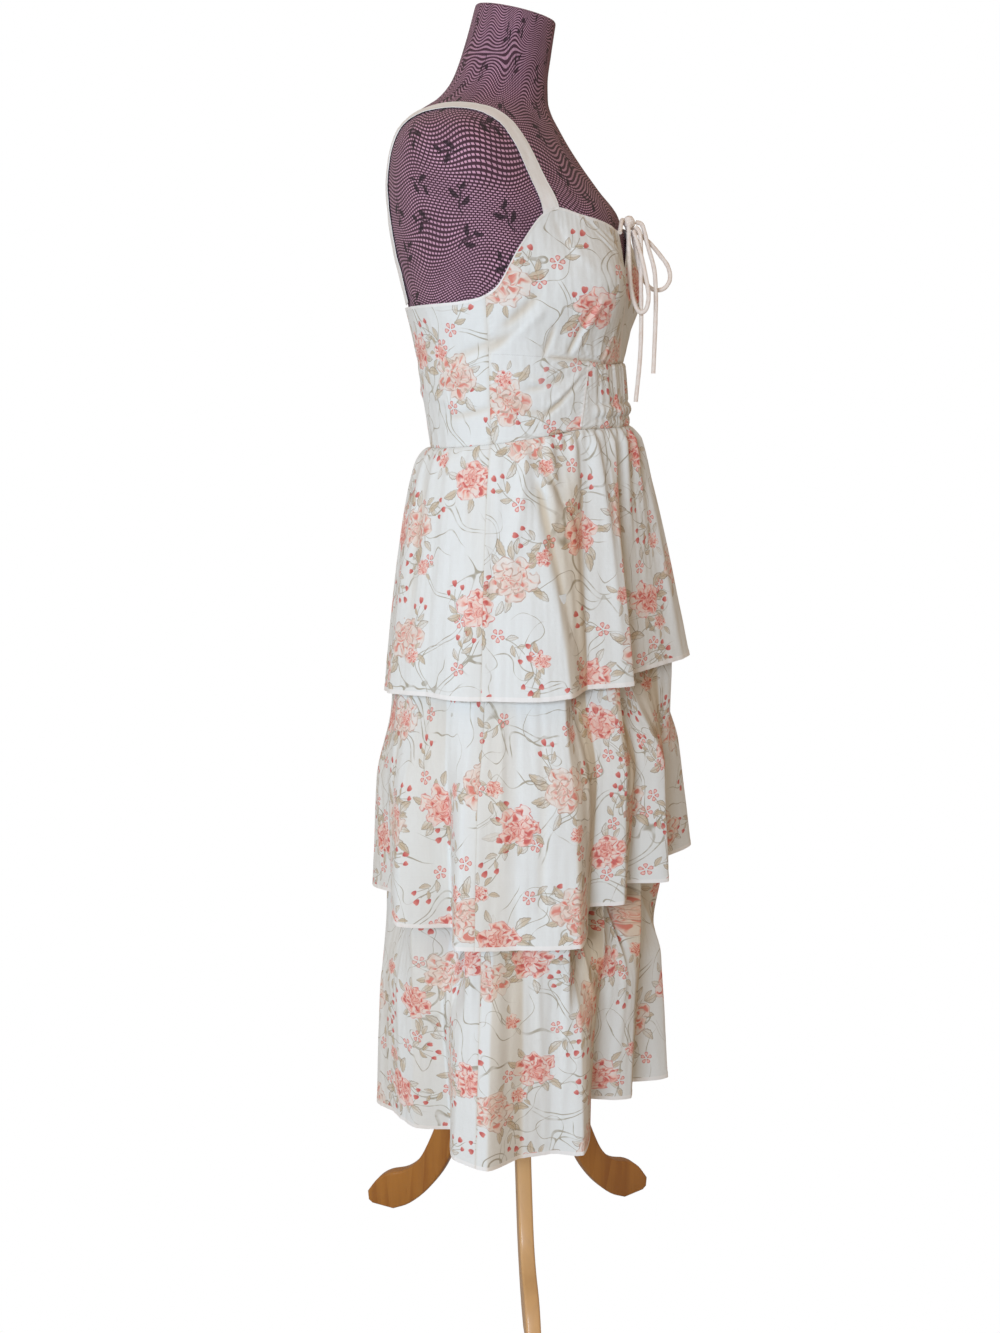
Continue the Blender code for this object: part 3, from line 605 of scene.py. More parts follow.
def makePrintGroup(look, leafGroup, flowerGroup):
    tree, start, end = newGroup(
        "floralPrint", (("Vector", "NodeSocketVector"),),
        (("Color", "NodeSocketColor"), ("Ink", "NodeSocketFloat")))
    x, y = splitVector(tree, start.outputs[0])[:2]
    wander = noiseField(tree, joinVector(tree, x, y), 9.0)
    x = x + (wander - 0.5) * 0.010
    color = look["ground"]
    ink = None

    def lay(mask, paint):
        nonlocal color, ink
        color = mixColor(tree, mask, color, paint)
        ink = mask if ink is None else ink.most(mask)

    def layLeaf(leaf, shown):
        mask, line = (Field(tree, output) for output in leaf.outputs)
        lay(mask * shown * washed * look["leafFill"], look["leafPale"])
        lay(line * shown * look["leafStroke"], look["leafDark"])

    washed = noiseField(tree, joinVector(tree, x + 3.0, y), 60.0, 2.0).step(0.30, 0.62) * 0.75 + 0.25

    # Scrolling vines: level lines of a soft noise, broken up by another; the widest are outlined
    for scale, offset, middle, thin in (
            (11.0, 0.0, 0.050, 0.018), (16.0, 5.9, 0.0, 0.021), (23.0, 3.1, 0.0, 0.025)):
        field = noiseField(tree, joinVector(tree, x + offset, y), scale, 0.6)
        patches = noiseField(tree, joinVector(tree, x + offset + 9.0, y), 12.0, 0.0)
        away = (((field * 3.0).fraction() - 0.5).size() - middle).size()
        stroke = (away * -1.0 + thin).step(0.0, 0.012) * patches.step(0.44, 0.52)
        lay(stroke * washed, look["vine"])

    # Sprigs: a stem with leaves, a small blossom of five petals and three drop-shaped buds
    for size, offset, seed in ((look["sprigCell"], 0.0, 3.0), (look["sprigCell"] * 1.17, 0.023, 8.0)):
        cellX, cellY, randoms = printCell(tree, x + offset, y, size, size * 0.30, seed)
        shown = (randoms[0] * -1.0 + 0.66).step(0.0, 0.01)
        sx, sy = turned(cellX, cellY, randoms[2] * tau)
        bowed = sy - ((sx + 0.017) / 0.036 * pi).sine() * 0.0030
        branches = [drawnLine(sx, bowed, (-0.015, 0.0), (0.018, 0.0), 0.00070)]
        buds = ((0.0235, 0.0, 1.0), (0.0150, 0.0095, 0.85), (0.0175, -0.0085, 0.8))
        for along, aside, _ in buds[1:]:
            branches.append(drawnLine(sx, sy, (0.004, 0.0), (along, aside), 0.00055))
        for branch in branches:
            lay(branch * shown * 0.8, look["vine"])
        for along, side, length in ((-0.008, 1.0, 0.0145), (0.001, -1.0, 0.0135), (0.007, 1.0, 0.0105)):
            lx, ly = turned(sx - along, (sy - 0.001) * side, 0.75)
            layLeaf(placeGroup(tree, leafGroup, X=lx / length, Y=ly / length), shown)
        fx, fy = sx + 0.0175, sy
        reach = (fx * fx + fy * fy).power(0.5) / 0.0078
        spoke = (fy.math("ARCTAN2", fx) / tau + randoms[1]) * 5.0
        swing = (spoke.fraction() - 0.5) * (tau / 5.0)
        far, wide = swing.cosine() * reach, swing.sine() * reach
        wide = wide / (far.most(0.05) * 0.46)
        off = (far - 0.58) / 0.42
        inner = (off * off + wide * wide) * -1.0 + 1.0
        lay(inner.step(0.0, 0.25) * shown, mixColor(
            tree, inner.step(0.25, 0.75) * far.step(0.2, 0.6), look["blossomRim"], look["blossom"]))
        for along, aside, grow in buds:
            bx, by = (sx - along) / (0.0048 * grow), (sy - aside) / (0.0034 * grow)
            lobe = by.size() - bx * 0.45
            bud = ((bx * bx + lobe * lobe).power(0.5) * -1.0 + 0.95).step(0.0, 0.25)
            lay(bud * shown, mixColor(tree, bx.step(-0.6, 0.9), look["budRoot"], look["bud"]))

    # Pale drawn peonies, small rosettes and coral roses, each in its own half-drop cells
    for size, offX, offY, seed, radius, colors, leaves in look["flowers"]:
        cellX, cellY, randoms = printCell(tree, x + offX, y + offY, size, size * 0.22, seed)
        for count, leafStart, length, likely, leafSeed in leaves:
            leaf, shown = leafRing(
                tree, leafGroup, cellX, cellY, count, radius * leafStart, radius * length,
                randoms, leafSeed, likely)
            layLeaf(leaf, shown)
        flower = placeGroup(
            tree, flowerGroup, X=cellX / radius, Y=cellY / (radius * 0.88), Seed=randoms[2])
        mask, shade, line = (Field(tree, output) for output in flower.outputs)
        paint = colorRamp(tree, shade, look[colors])
        paint = mixColor(tree, line * 0.80, paint, look[colors + "Line"])
        lay(mask * 0.92, paint)
    plug(tree, end.inputs[0], color)
    plug(tree, end.inputs[1], ink)
    return tree


def makeWeaveGroup():
    # Plain weave: threads over and under, and slubs that run along them
    tree, start, end = newGroup(
        "plainWeave", (("Vector", "NodeSocketVector"), ("Pitch", "NodeSocketFloat")),
        (("Height", "NodeSocketFloat"), ("Slub", "NodeSocketFloat")))
    x, y = splitVector(tree, start.outputs[0])[:2]
    pitch = Field(tree, start.outputs[1])
    warp = (x / pitch * pi).sine()
    weft = (y / pitch * pi).sine()
    over = (warp * weft * 0.5 + 0.5)
    ridge = warp.size() * over + weft.size() * (over * -1.0 + 1.0)
    slubA = noiseField(tree, joinVector(tree, x * 900.0, y * 25.0), 1.0, 2.0)
    slubB = noiseField(tree, joinVector(tree, x * 25.0, y * 900.0), 1.0, 2.0)
    tree.links.new(ridge.socket, end.inputs[0])
    tree.links.new(((slubA + slubB) * 0.5).socket, end.inputs[1])
    return tree


leafMotif = makeLeafGroup()
flowerMotif = makeFlowerGroup()
floralPrint = makePrintGroup(printPattern, leafMotif, flowerMotif)
plainWeave = makeWeaveGroup()


def newMaterial(name):
    material = bpy.data.materials.new(name)
    material.use_nodes = True
    return material, material.node_tree, material.node_tree.nodes["Principled BSDF"]


def addBump(tree, shader, height, strength, distance, before=None):
    node = tree.nodes.new("ShaderNodeBump")
    node.inputs["Strength"].default_value = strength
    node.inputs["Distance"].default_value = distance
    plug(tree, node.inputs["Height"], height)
    if before is not None:
        tree.links.new(before, node.inputs["Normal"])
    tree.links.new(node.outputs[0], shader.inputs["Normal"])
    return node.outputs[0]


clothFinish = {
    "roughness": 0.82,
    "sheen": 0.12,
    "weavePitch": 0.00055,
    # white: the painted highlight along turned edges and raised seams (the straps are white all over);
    # warmShade: the colour of the painted shade
    "white": (0.84, 0.865, 0.87),
    "warmShade": (0.80, 0.66, 0.50),
    "reverseFade": 0.78,
    "edgeShare": 0.96,
    "slubShare": 0.10,
    "slubShade": (0.80, 0.80, 0.80),
    "crumple": (38.0, 0.28, 0.004),         # scale, strength and height of the bump
    "weaveBump": (0.25, 0.00012),
}


def makeClothMaterial(name, faded):
    # UV map clothMap is in metres of cloth; the painted shade and the painted edge highlight are laid on the
    # points
    finish = clothFinish
    material, tree, shader = newMaterial(name)
    uv = tree.nodes.new("ShaderNodeUVMap")
    uv.uv_map = "clothMap"
    pattern = placeGroup(tree, floralPrint, Vector=uv.outputs[0])
    color = pattern.outputs["Color"]
    if faded:
        color = mixColor(tree, finish["reverseFade"], color, printPattern["ground"])
    edge = tree.nodes.new("ShaderNodeAttribute")
    edge.attribute_name = "edge"
    border = Field(tree, edge.outputs["Fac"])
    # Painted highlight: turned edges and raised seams made plain and light
    color = mixColor(tree, border.step(0.35, 0.65) * finish["edgeShare"], color, finish["white"])
    paintedShade = tree.nodes.new("ShaderNodeAttribute")
    paintedShade.attribute_name = "paintedShade"
    deep = Field(tree, paintedShade.outputs["Fac"])
    # Painted shade: darkens fold flanks, fold bottoms, creases and seams to warm tan
    color = mixColor(tree, deep, color, finish["warmShade"], "MULTIPLY")
    weave = placeGroup(tree, plainWeave, Vector=uv.outputs[0], Pitch=finish["weavePitch"])
    slub = Field(tree, weave.outputs["Slub"])
    slubs = slub.step(0.35, 0.75) * finish["slubShare"]
    color = mixColor(tree, slubs, color, finish["slubShade"], "MULTIPLY")
    tree.links.new(color, shader.inputs["Base Color"])
    shader.inputs["Roughness"].default_value = finish["roughness"]
    shader.inputs["Sheen Weight"].default_value = finish["sheen"]
    scale, strength, height = finish["crumple"]
    soft = addBump(tree, shader, noiseField(tree, uv.outputs[0], scale, 3.0), strength, height)
    addBump(tree, shader, Field(tree, weave.outputs["Height"]) + slub, *finish["weaveBump"], soft)
    return material


clothOutside = makeClothMaterial("printedCotton", False)
clothInside = makeClothMaterial("printedCottonReverse", True)
print("cloth materials made")


# Cloth pieces

def meshFrom(bm, name, sharpAngle=None):
    mesh = bpy.data.meshes.new(name)
    bm.to_mesh(mesh)
    bm.free()
    mesh.shade_smooth()
    if sharpAngle is not None:
        mesh.set_sharp_from_angle(angle=radians(sharpAngle))
    return mesh


def finishPiece(thing, replaced):
    bpy.context.scene.collection.objects.link(thing)
    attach(thing, "root")
    if replaced:
        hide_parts(*replaced)
    return thing


def clothPiece(name, surface, columns, rows, replaced, printShift, crowd=None, printPlace=None):
    # surface(s, t) gives the outer face, each point's painted warm shade and its painted white highlight on
    # the edge; crowd(t) moves rows of the grid closer to the hem. The print follows the grid, or else
    # printPlace(place), so that it runs on over a seam
    bm = bmesh.new()
    bmesh.ops.create_grid(bm, x_segments=columns, y_segments=rows, size=0.5)
    bm.verts.index_update()
    flat = np.array([vert.co for vert in bm.verts])
    s, t = flat[:, 0] + 0.5, 0.5 - flat[:, 1]
    order = np.lexsort((np.round(s * columns), np.round(t * rows)))
    if crowd is not None:
        t = crowd(t)
    place, paintedShade, edge = surface(s, t)
    place = place + pole
    for vert, point in zip(bm.verts, place):
        vert.co = point
    grid = place[order].reshape(rows + 1, columns + 1, 3)
    across = np.linalg.norm(np.diff(grid, axis=1), axis=2)[rows // 2:].mean(0)
    down = np.linalg.norm(np.diff(grid, axis=0), axis=2).mean(1)
    u = np.concatenate(((0.0,), np.cumsum(across)))
    v = np.concatenate(((0.0,), np.cumsum(down)))
    mapU, mapV = np.empty(len(s)), np.empty(len(s))
    mapU[order] = np.tile(u, rows + 1) + printShift[0]
    mapV[order] = np.repeat(-v, columns + 1) + printShift[1]
    if printPlace is not None:
        mapU, mapV = (values + shift for values, shift in zip(printPlace(place - pole), printShift))
    layer = bm.loops.layers.uv.new("clothMap")
    for face in bm.faces:
        for loop in face.loops:
            loop[layer].uv = (mapU[loop.vert.index], mapV[loop.vert.index])
    for rim in (edge for edge in bm.edges if edge.is_boundary):
        rim.smooth = False
    bmesh.ops.recalc_face_normals(bm, faces=bm.faces)
    middle = bm.faces[len(bm.faces) // 2]
    outward = middle.calc_center_median() - Vector(pole)
    if middle.normal.x * outward.x + middle.normal.y * outward.y < 0.0:
        bmesh.ops.reverse_faces(bm, faces=bm.faces)
    mesh = meshFrom(bm, name)
    for label, values in (("paintedShade", paintedShade), ("edge", edge)):
        layer = mesh.attributes.new(label, "FLOAT", "POINT")
        layer.data.foreach_set("value", np.ascontiguousarray(values, np.float32))
    mesh.materials.append(clothOutside)
    mesh.materials.append(clothInside)
    thing = bpy.data.objects.new(name, mesh)
    wall = thing.modifiers.new("wall", "SOLIDIFY")
    wall.thickness = garment["clothThickness"]
    wall.offset = -1.0
    wall.material_offset = 1
    finishPiece(thing, replaced)
    cloth = (float(u[-1]), float(v[-1]))
    return thing, cloth


# Skirt tiers. Each row is a fold's angle at the hem, angle at the seam,
# radius of the hem in mm and height of the hem in mm
tierLook = {
    "tier1": {
        "folds": (
            (-165, -165, 151, 712), (-150, -152, 160, 716), (-134, -136, 153, 722),
            (-116, -118, 168, 730), (-101, -102, 161, 734), (-86, -84, 172, 736),
            (-72, -68, 163, 739), (-58, -53, 181, 743), (-45, -40, 163, 746), (-31, -26, 178, 749),
            (-16, -14, 198, 751), (-3, -2, 172, 749), (8, 8, 155, 747), (19, 19, 142, 744),
            (27.5, 28, 172, 742), (45, 44, 151, 741), (55, 65, 170, 738), (66, 76, 166, 735),
            (82, 84, 164, 735), (98, 97, 169, 734), (112, 112, 160, 732), (134, 132, 163, 725),
            (148, 148, 151, 717), (163, 163, 153, 711), (180, 180, 148, 709),
        ),
        "hemOval": (0.168, 0.166, 0.152),
    },
    "tier2": {
        "folds": (
            (-164, -164, 170, 475), (-150, -151, 156, 481), (-136, -137, 178, 473),
            (-121, -121, 158, 480), (-106, -105, 194, 468), (-90, -90, 172, 474),
            (-75, -76, 202, 470), (-60, -60, 166, 488), (-45, -44, 204, 500), (-35, -34, 180, 505),
            (-24, -24, 212, 512), (-9, -10, 162, 508), (8, 8, 188, 504), (18, 17, 147, 504),
            (31, 30, 172, 496), (42, 41, 149, 493), (54, 55, 196, 469), (74, 74, 187, 468),
            (94, 93, 197, 467), (104, 103, 144, 468), (122, 121, 180, 468), (142, 142, 157, 484),
            (163, 163, 171, 474), (180, 180, 162, 477),
        ),
        "hemOval": (0.182, 0.178, 0.166),
        "topOval": (0.170, 0.164, 0.150),
        "inset": (0.018, 0.006),
    },
    "tier3": {
        "folds": (
            (-166, -166, 166, 202), (-150, -150, 176, 200), (-134, -134, 152, 206),
            (-118, -118, 186, 207), (-98, -98, 166, 213), (-79, -80, 192, 210),
            (-67, -68, 164, 218), (-56, -56, 196, 215), (-44, -44, 190, 222), (-31, -31, 152, 230),
            (-16, -16, 186, 222), (-4, -4, 138, 230), (13, 13, 153, 234), (31, 31, 119, 240),
            (50, 50, 181, 214), (61, 61, 163, 212), (73, 73, 166, 211), (84, 83, 197, 211),
            (97, 95, 184, 211), (110, 109, 129, 211), (124, 123, 156, 211), (141, 141, 158, 210),
            (156, 156, 171, 202), (180, 180, 160, 200),
        ),
        "hemOval": (0.170, 0.170, 0.164),
        "topOval": (0.160, 0.162, 0.150),
        "inset": (0.030, 0.014),
    },
    "solidRows": 6,
    "overlapRows": 2,
    "rowPower": 1.25,
    "gathers": 15,
    "gatherDepth": 0.0035,
    "gatherMean": 0.7,
    "gatherStart": 0.06,
    "gatherEnd": 0.5,
    "gatherSides": 0.35,
    "gatherEdge": (75.0, 20.0),
    "waistLift": 0.0004,
    "flarePower": (0.60, 0.15),
    "foldPower": 0.75,
    "lipShare": 0.45,
    "steepest": 3.5,
    "sideGap": 0.0001,
    "flatness": 0.5,      # 0 gives round folds, 1 flat planes between sharp creases
}


def oval(sizes, angle):
    front, side, back = sizes
    lobe = np.cos(np.radians(angle))
    return side + np.where(lobe > 0.0, front - side, back - side) * lobe * lobe


def foldCurve(folds, column, angle, share):
    # One fold column over the angle, where each fold leans from its seam to its hem
    table = np.array(folds, float)
    wholeTurns = np.repeat((-360.0, 0.0, 360.0), len(table))
    atHem, atSeam = np.tile(table[:, 0], 3) + wholeTurns, np.tile(table[:, 1], 3) + wholeTurns
    values = np.tile(table[:, column], 3) * 0.001
    knots = atSeam + np.multiply.outer(share, atHem - atSeam)
    index = (knots < angle[:, None]).sum(1) - 1
    x = [knots[np.arange(len(angle)), index + k] for k in (-1, 0, 1, 2)]
    y = [values[index + k] for k in (-1, 0, 1, 2)]
    straight = y[1] + (y[2] - y[1]) * (angle - x[1]) / (x[2] - x[1])
    return hermite(x, y, angle) * (1.0 - tierLook["flatness"]) + straight * tierLook["flatness"]


class Tier:
    # A gathered ring of cloth: its top seam, its folds, and what it hangs under
    def __init__(self, look, above):
        self.look = look
        self.above = above

    def hem(self, angle):
        return foldCurve(self.look["folds"], 3, angle, np.ones(len(angle)))

    def seam(self, angle):
        if self.above is None:
            return mirrored(waistLine, angle) - garment["gap"]
        return self.above.level(angle, 1.0 - tierLook["overlapRows"] / tierLook["solidRows"])

    def level(self, angle, t):
        seam, hem = self.seam(angle), self.hem(angle)
        if self.above is None:
            return seam + (hem - seam) * t ** tierLook["rowPower"]
        joined = self.above.hem(angle)
        split = 1.0 / tierLook["solidRows"]
        upper = seam + (joined - seam) * t / split
        return np.where(t <= split, upper, joined + (hem - joined) * (t - split) / (1.0 - split))

    def freeRadius(self, angle, share):
        look = self.look
        power = tierLook["flarePower"][0] + tierLook["flarePower"][1] * np.cos(np.radians(angle))
        first = self.above is None
        top = waistRadius(angle) + tierLook["waistLift"] if first else oval(look["topOval"], angle)
        foot = oval(look["hemOval"], angle)
        fold = foldCurve(look["folds"], 2, angle, share) - foot
        radius = top + (foot - top) * share ** power + fold * share ** tierLook["foldPower"]
        if first:
            ahead = smoothStep((tierLook["gatherEdge"][0] - np.abs(angle)) / tierLook["gatherEdge"][1])
            amount = tierLook["gatherSides"] + (1.0 - tierLook["gatherSides"]) * ahead
            wave = tierLook["gatherMean"] + np.cos(np.radians(angle) * 2.0 * tierLook["gathers"])
            rise = smoothStep(share / tierLook["gatherStart"])
            fall = np.maximum(0.0, 1.0 - share / tierLook["gatherEnd"])
            radius = radius + tierLook["gatherDepth"] * wave * rise * fall * amount
        return radius

    def radius(self, angle, height):
        seam, hem = self.seam(angle), self.hem(angle)
        if self.above is None:
            return self.freeRadius(angle, np.clip((seam - height) / (seam - hem), 0.0, 1.0))
        joined = self.above.hem(angle)
        share = np.clip((joined - height) / (joined - hem), 0.0, 1.0)
        start = self.underRadius(angle, joined)
        own = start + (self.freeRadius(angle, share) - start) * smoothStep(share / tierLook["lipShare"])
        return np.where(height >= joined, self.underRadius(angle, height), own)

    def underRadius(self, angle, height):
        # Inside the tier above: against its wall at the seam, further in below
        seam = self.seam(angle)
        drop = (seam - height) / (seam - self.above.hem(angle))
        front, back = self.look["inset"]
        apart = back + (front - back) * (0.5 + 0.5 * np.cos(np.radians(angle)))
        gap = garment["wall"] + garment["layerGap"] + apart * drop
        here = self.above.radius(angle, height)
        around = (self.above.radius(angle + 1.0, height) - self.above.radius(angle - 1.0, height))
        around = around / (2.0 * radians(1.0) * here)
        down = (self.above.radius(angle, height - 0.004) - here) / 0.004
        return here - gap * np.minimum(tierLook["steepest"], np.sqrt(1.0 + around ** 2 + down ** 2))


# Creases laid on each tier: angle, height of the middle, length, lean in degrees
# per metre, depth (out is plus) and half width in degrees
tierCreases = {
    "tier1": (
        (74, 0.935, 0.13, -60, 0.0030, 2.4), (60, 0.890, 0.17, 80, -0.0050, 2.4),
        (60.5, 0.966, 0.085, 250, -0.0048, 1.7), (65.5, 0.966, 0.085, 250, 0.0026, 2.6),
        (88, 0.900, 0.18, 10, 0.0020, 2.0), (96, 0.950, 0.09, 30, -0.0016, 2.6),
        (49, 0.860, 0.20, 30, 0.0030, 2.2), (33, 0.880, 0.22, 10, 0.0030, 2.5),
        (20, 0.860, 0.20, -20, -0.0030, 2.4), (108, 0.860, 0.14, -30, 0.0018, 3.0),
        (125, 0.900, 0.17, 10, -0.0020, 3.2), (150, 0.880, 0.19, -10, 0.0020, 3.0),
        (-170, 0.900, 0.15, 20, 0.0022, 3.0), (-150, 0.870, 0.20, -10, -0.0024, 3.0),
        (-128, 0.910, 0.14, 20, 0.0022, 2.6), (-104, 0.880, 0.20, -20, 0.0022, 2.4),
        (-80, 0.910, 0.16, 40, -0.0028, 2.6), (-62, 0.880, 0.20, -20, 0.0030, 2.4),
        (-37, 0.870, 0.21, 20, 0.0030, 2.4), (-8, 0.880, 0.20, 10, 0.0028, 2.2),
        (68, 0.800, 0.08, 80, 0.0012, 3.0), (118, 0.790, 0.07, -60, 0.0012, 3.6),
        (-95, 0.790, 0.08, 60, 0.0013, 3.4), (170, 0.780, 0.08, 40, 0.0012, 3.6),
    ),
    "tier2": (
        (80, 0.640, 0.16, 14, 0.0022, 1.7), (66, 0.600, 0.19, -12, -0.0018, 1.9),
        (112, 0.640, 0.15, 10, 0.0020, 2.0), (88, 0.560, 0.12, -30, 0.0014, 2.6),
        (48, 0.640, 0.14, 20, 0.0024, 1.6), (24, 0.620, 0.17, 0, 0.0026, 1.8),
        (2, 0.620, 0.17, 10, -0.0024, 1.8), (132, 0.620, 0.16, -10, -0.0020, 2.2),
        (152, 0.600, 0.17, 10, 0.0020, 2.4), (-172, 0.630, 0.15, -10, 0.0022, 2.4),
        (-144, 0.600, 0.17, 10, 0.0020, 2.2), (-114, 0.630, 0.16, -10, 0.0022, 2.0),
        (-84, 0.610, 0.17, 10, 0.0022, 1.8), (-52, 0.640, 0.15, -10, 0.0024, 1.8),
        (-30, 0.620, 0.17, 10, -0.0024, 1.8), (-14, 0.650, 0.14, -10, 0.0024, 1.8),
        (72, 0.520, 0.07, 60, 0.0011, 3.0), (125, 0.530, 0.07, -50, 0.0011, 3.2),
    ),
    "tier3": (
        (91, 0.370, 0.16, 10, 0.0018, 1.6), (78, 0.330, 0.20, -8, -0.0020, 1.8),
        (66, 0.380, 0.15, 12, 0.0020, 1.7), (56, 0.340, 0.16, -14, 0.0018, 1.6),
        (104, 0.350, 0.15, 8, -0.0018, 1.9), (118, 0.340, 0.15, -8, 0.0022, 2.0),
        (134, 0.330, 0.16, 10, 0.0018, 2.2), (40, 0.350, 0.15, 10, 0.0022, 1.8),
        (20, 0.340, 0.15, -10, 0.0022, 1.8), (0, 0.350, 0.15, 10, -0.0020, 1.8),
        (150, 0.320, 0.16, 10, -0.0018, 2.4), (170, 0.330, 0.15, -10, 0.0020, 2.4),
        (-158, 0.330, 0.15, 10, 0.0020, 2.2), (-126, 0.340, 0.15, -10, 0.0020, 2.0),
        (-90, 0.340, 0.16, 10, 0.0020, 1.8), (-60, 0.330, 0.15, -10, -0.0020, 1.8),
        (-24, 0.340, 0.15, 10, 0.0022, 1.8), (70, 0.250, 0.06, 50, 0.0010, 3.0),
    ),
}
tierMesh = {
    "frontColumns": 370,
    "backColumns": 320,
    "rows": 76,
    "crease": 0.0010,     # small unevenness everywhere
    "hem": 0.0075,
    "hemRise": 0.00035,
    # slopeStep, steepFlank and deepCrease place the painted shade on the folds
    "slopeStep": 1.5,       # degrees
    "steepFlank": 0.0012,   # metres a degree
    "deepCrease": 0.0055,
    "sideDip": 0.0004,
    "sideWidth": 0.0014,
    "tops": (30, 0.0016),   # how many fine gathers the waist seam has, and their depth
    "topsFade": 0.030,
    "topsFront": (78.0, 20.0, 0.35),
    "shadeInFolds": 0.10,      # painted shade in the bottoms of the folds
    "shadeFront": (100.0, 25.0, 0.30),
    "hemRows": (0.9, 0.955),
}


def creaseDepth(table, angle, height):
    total = np.zeros(len(angle))
    for middle, level, length, lean, depth, width in table:
        off = (angle - middle - lean * (height - level) + 180.0) % 360.0 - 180.0
        taper = np.exp(-((height - level) / (0.55 * length)) ** 4)
        total += depth * bell(off / width) * taper
    return total


def tierSurface(tier, name, angle, t):
    height = tier.level(angle, t)
    seam, hem = tier.seam(angle), tier.hem(angle)
    radius = tier.radius(angle, height)
    fromHem = height - hem
    free = smoothStep((seam - height) / 0.05)
    if tier.above is not None:
        free = smoothStep((tier.above.hem(angle) - height + 0.010) / 0.035)
    small = waver(angle * 0.16, height * 9.0, 3.7) * 0.6 + waver(angle * 0.45, height * 16.0, 8.1) * 0.4
    creases = creaseDepth(tierCreases[name], angle, height) * free
    radius = radius + creases + small * tierMesh["crease"] * free
    if tier.above is None:
        count, depth = tierMesh["tops"]
        last, blend, least = tierMesh["topsFront"]
        uneven = angle * 2.0 * count + 55.0 * waver(angle * 0.05, height * 2.0, 1.3)
        nearSeam = smoothStep((seam - height) / 0.004) * np.exp(-(seam - height) / tierMesh["topsFade"])
        ahead = least + (1.0 - least) * smoothStep((last - np.abs(angle)) / blend)
        radius = radius + depth * (np.cos(np.radians(uneven)) + 0.4) * nearSeam * ahead
    radius = radius + tierMesh["hemRise"] * smoothStep((tierMesh["hem"] - fromHem) / 0.0012)
    flare = oval(tier.look["hemOval"], angle)
    share = np.clip((seam - height) / (seam - hem), 0.0, 1.0)
    fold = foldCurve(tier.look["folds"], 2, angle, share)
    # Painted shade lies on each fold's front-facing flank, and a little in the bottom of every fold; deep
    # creases and the side seam get it too
    step = tierMesh["slopeStep"]
    slope = foldCurve(tier.look["folds"], 2, angle + step, share)
    slope = (slope - foldCurve(tier.look["folds"], 2, angle - step, share)) / (2.0 * step)
    flank = smoothStep(np.where(angle > -30.0, slope, -slope) / tierMesh["steepFlank"])
    deep = smoothStep((flare + 0.002 - fold) / 0.022)
    paintedShade = flank * (0.65 + 0.35 * deep) + (1.0 - flank) * tierMesh["shadeInFolds"] * deep
    last, blend, least = tierMesh["shadeFront"]
    paintedShade = paintedShade * smoothStep(share / 0.35)
    paintedShade = paintedShade * (least + (1.0 - least) * smoothStep((last - np.abs(angle)) / blend))
    paintedShade = np.maximum(paintedShade, 0.9 * smoothStep(-creases / tierMesh["deepCrease"]))
    # Painted highlight: a white band along the turned hem
    edge = np.where(fromHem < tierMesh["hem"] * 0.62, 1.0, 0.0)
    fromSide = np.radians(np.abs(np.abs(angle) - garment["sideSeam"])) * radius
    radius = radius - tierMesh["sideDip"] * bell(fromSide / tierMesh["sideWidth"])
    paintedShade = np.maximum(paintedShade, 0.3 * bell(fromSide / tierMesh["sideWidth"]))
    return roundPole(angle, radius, height), paintedShade, edge


def hemCrowd(t):
    # The last tenth of the rows lies close together, for the turned hem's step
    last, turn = tierMesh["hemRows"]
    return np.where(t < last, t / last * turn, turn + (t - last) / (1.0 - last) * (1.0 - turn))


def makeTiers():
    tiers = {}
    above = None
    for name in ("tier1", "tier2", "tier3"):
        above = Tier(tierLook[name], above)
        tiers[name] = above
    halfGap = np.degrees(0.5 * tierLook["sideGap"] / tierLook["tier1"]["hemOval"][1])
    for number, (name, tier) in enumerate(tiers.items(), start=1):
        for part, columns in (("front", tierMesh["frontColumns"]), ("back", tierMesh["backColumns"])):
            def surface(s, t, part=part, tier=tier, name=name):
                if part == "front":
                    angle = (garment["sideSeam"] - halfGap) * (1.0 - 2.0 * s)
                else:
                    end = garment["sideSeam"] + halfGap
                    angle = -end - (360.0 - 2.0 * end) * s
                angle = np.where(angle > -180.0, angle, angle + 360.0)
                return tierSurface(tier, name, angle, t)

            node = "dress_tier_%d_%s" % (number, part)
            shift = (0.37 * number + (0.9 if part == "back" else 0.0), 0.53 * number)
            piece, cloth = clothPiece(
                "tier%d%sCloth" % (number, part.title()), surface, columns, tierMesh["rows"],
                (node,), shift, hemCrowd)
            print(piece.name, "cloth", [round(value, 3) for value in cloth])


makeTiers()
print("tiers made")


# Bodice: two cups, a gathered midriff between two side panels, and a back
bodiceLook = {
    "ruche": (1.031, 0.0030, 0.006),      # height, how far it stands out, half width
    "stitches": (0.0075, 0.0012, 0.0018),   # lines beside the ruche: how far off, depth, half width
    "midriffGathers": 7,
    "midriffDepth": 0.0016,
    "midriffFine": 0.0008,
    "midriffEdge": 8.0,
    "cupPitch": 0.6,
    "cupDepth": 0.0028,
    "cupFine": 0.0009,
    "cupReach": 0.055,
    "cupRise": 0.009,
    "cupFan": (8.0, 28.0),
    "seamDip": 0.0008,
    "seamWidth": 0.0022,
    "pucker": 0.0004,
    "small": 0.0007,
    # deepWrinkle: how deep a wrinkle must be for its painted shade to be full
    "deepWrinkle": 0.0034,
    "boundWidth": 0.0034,
    "boundRise": 0.0004,
    "printLevel": 1.09,
    "printStretch": 1.03,
    "wrinkleBow": 1.6,      # how much the wrinkles curve
    "grids": {"cup": (130, 96), "side": (80, 56), "centre": (170, 60), "back": (220, 100)},
}
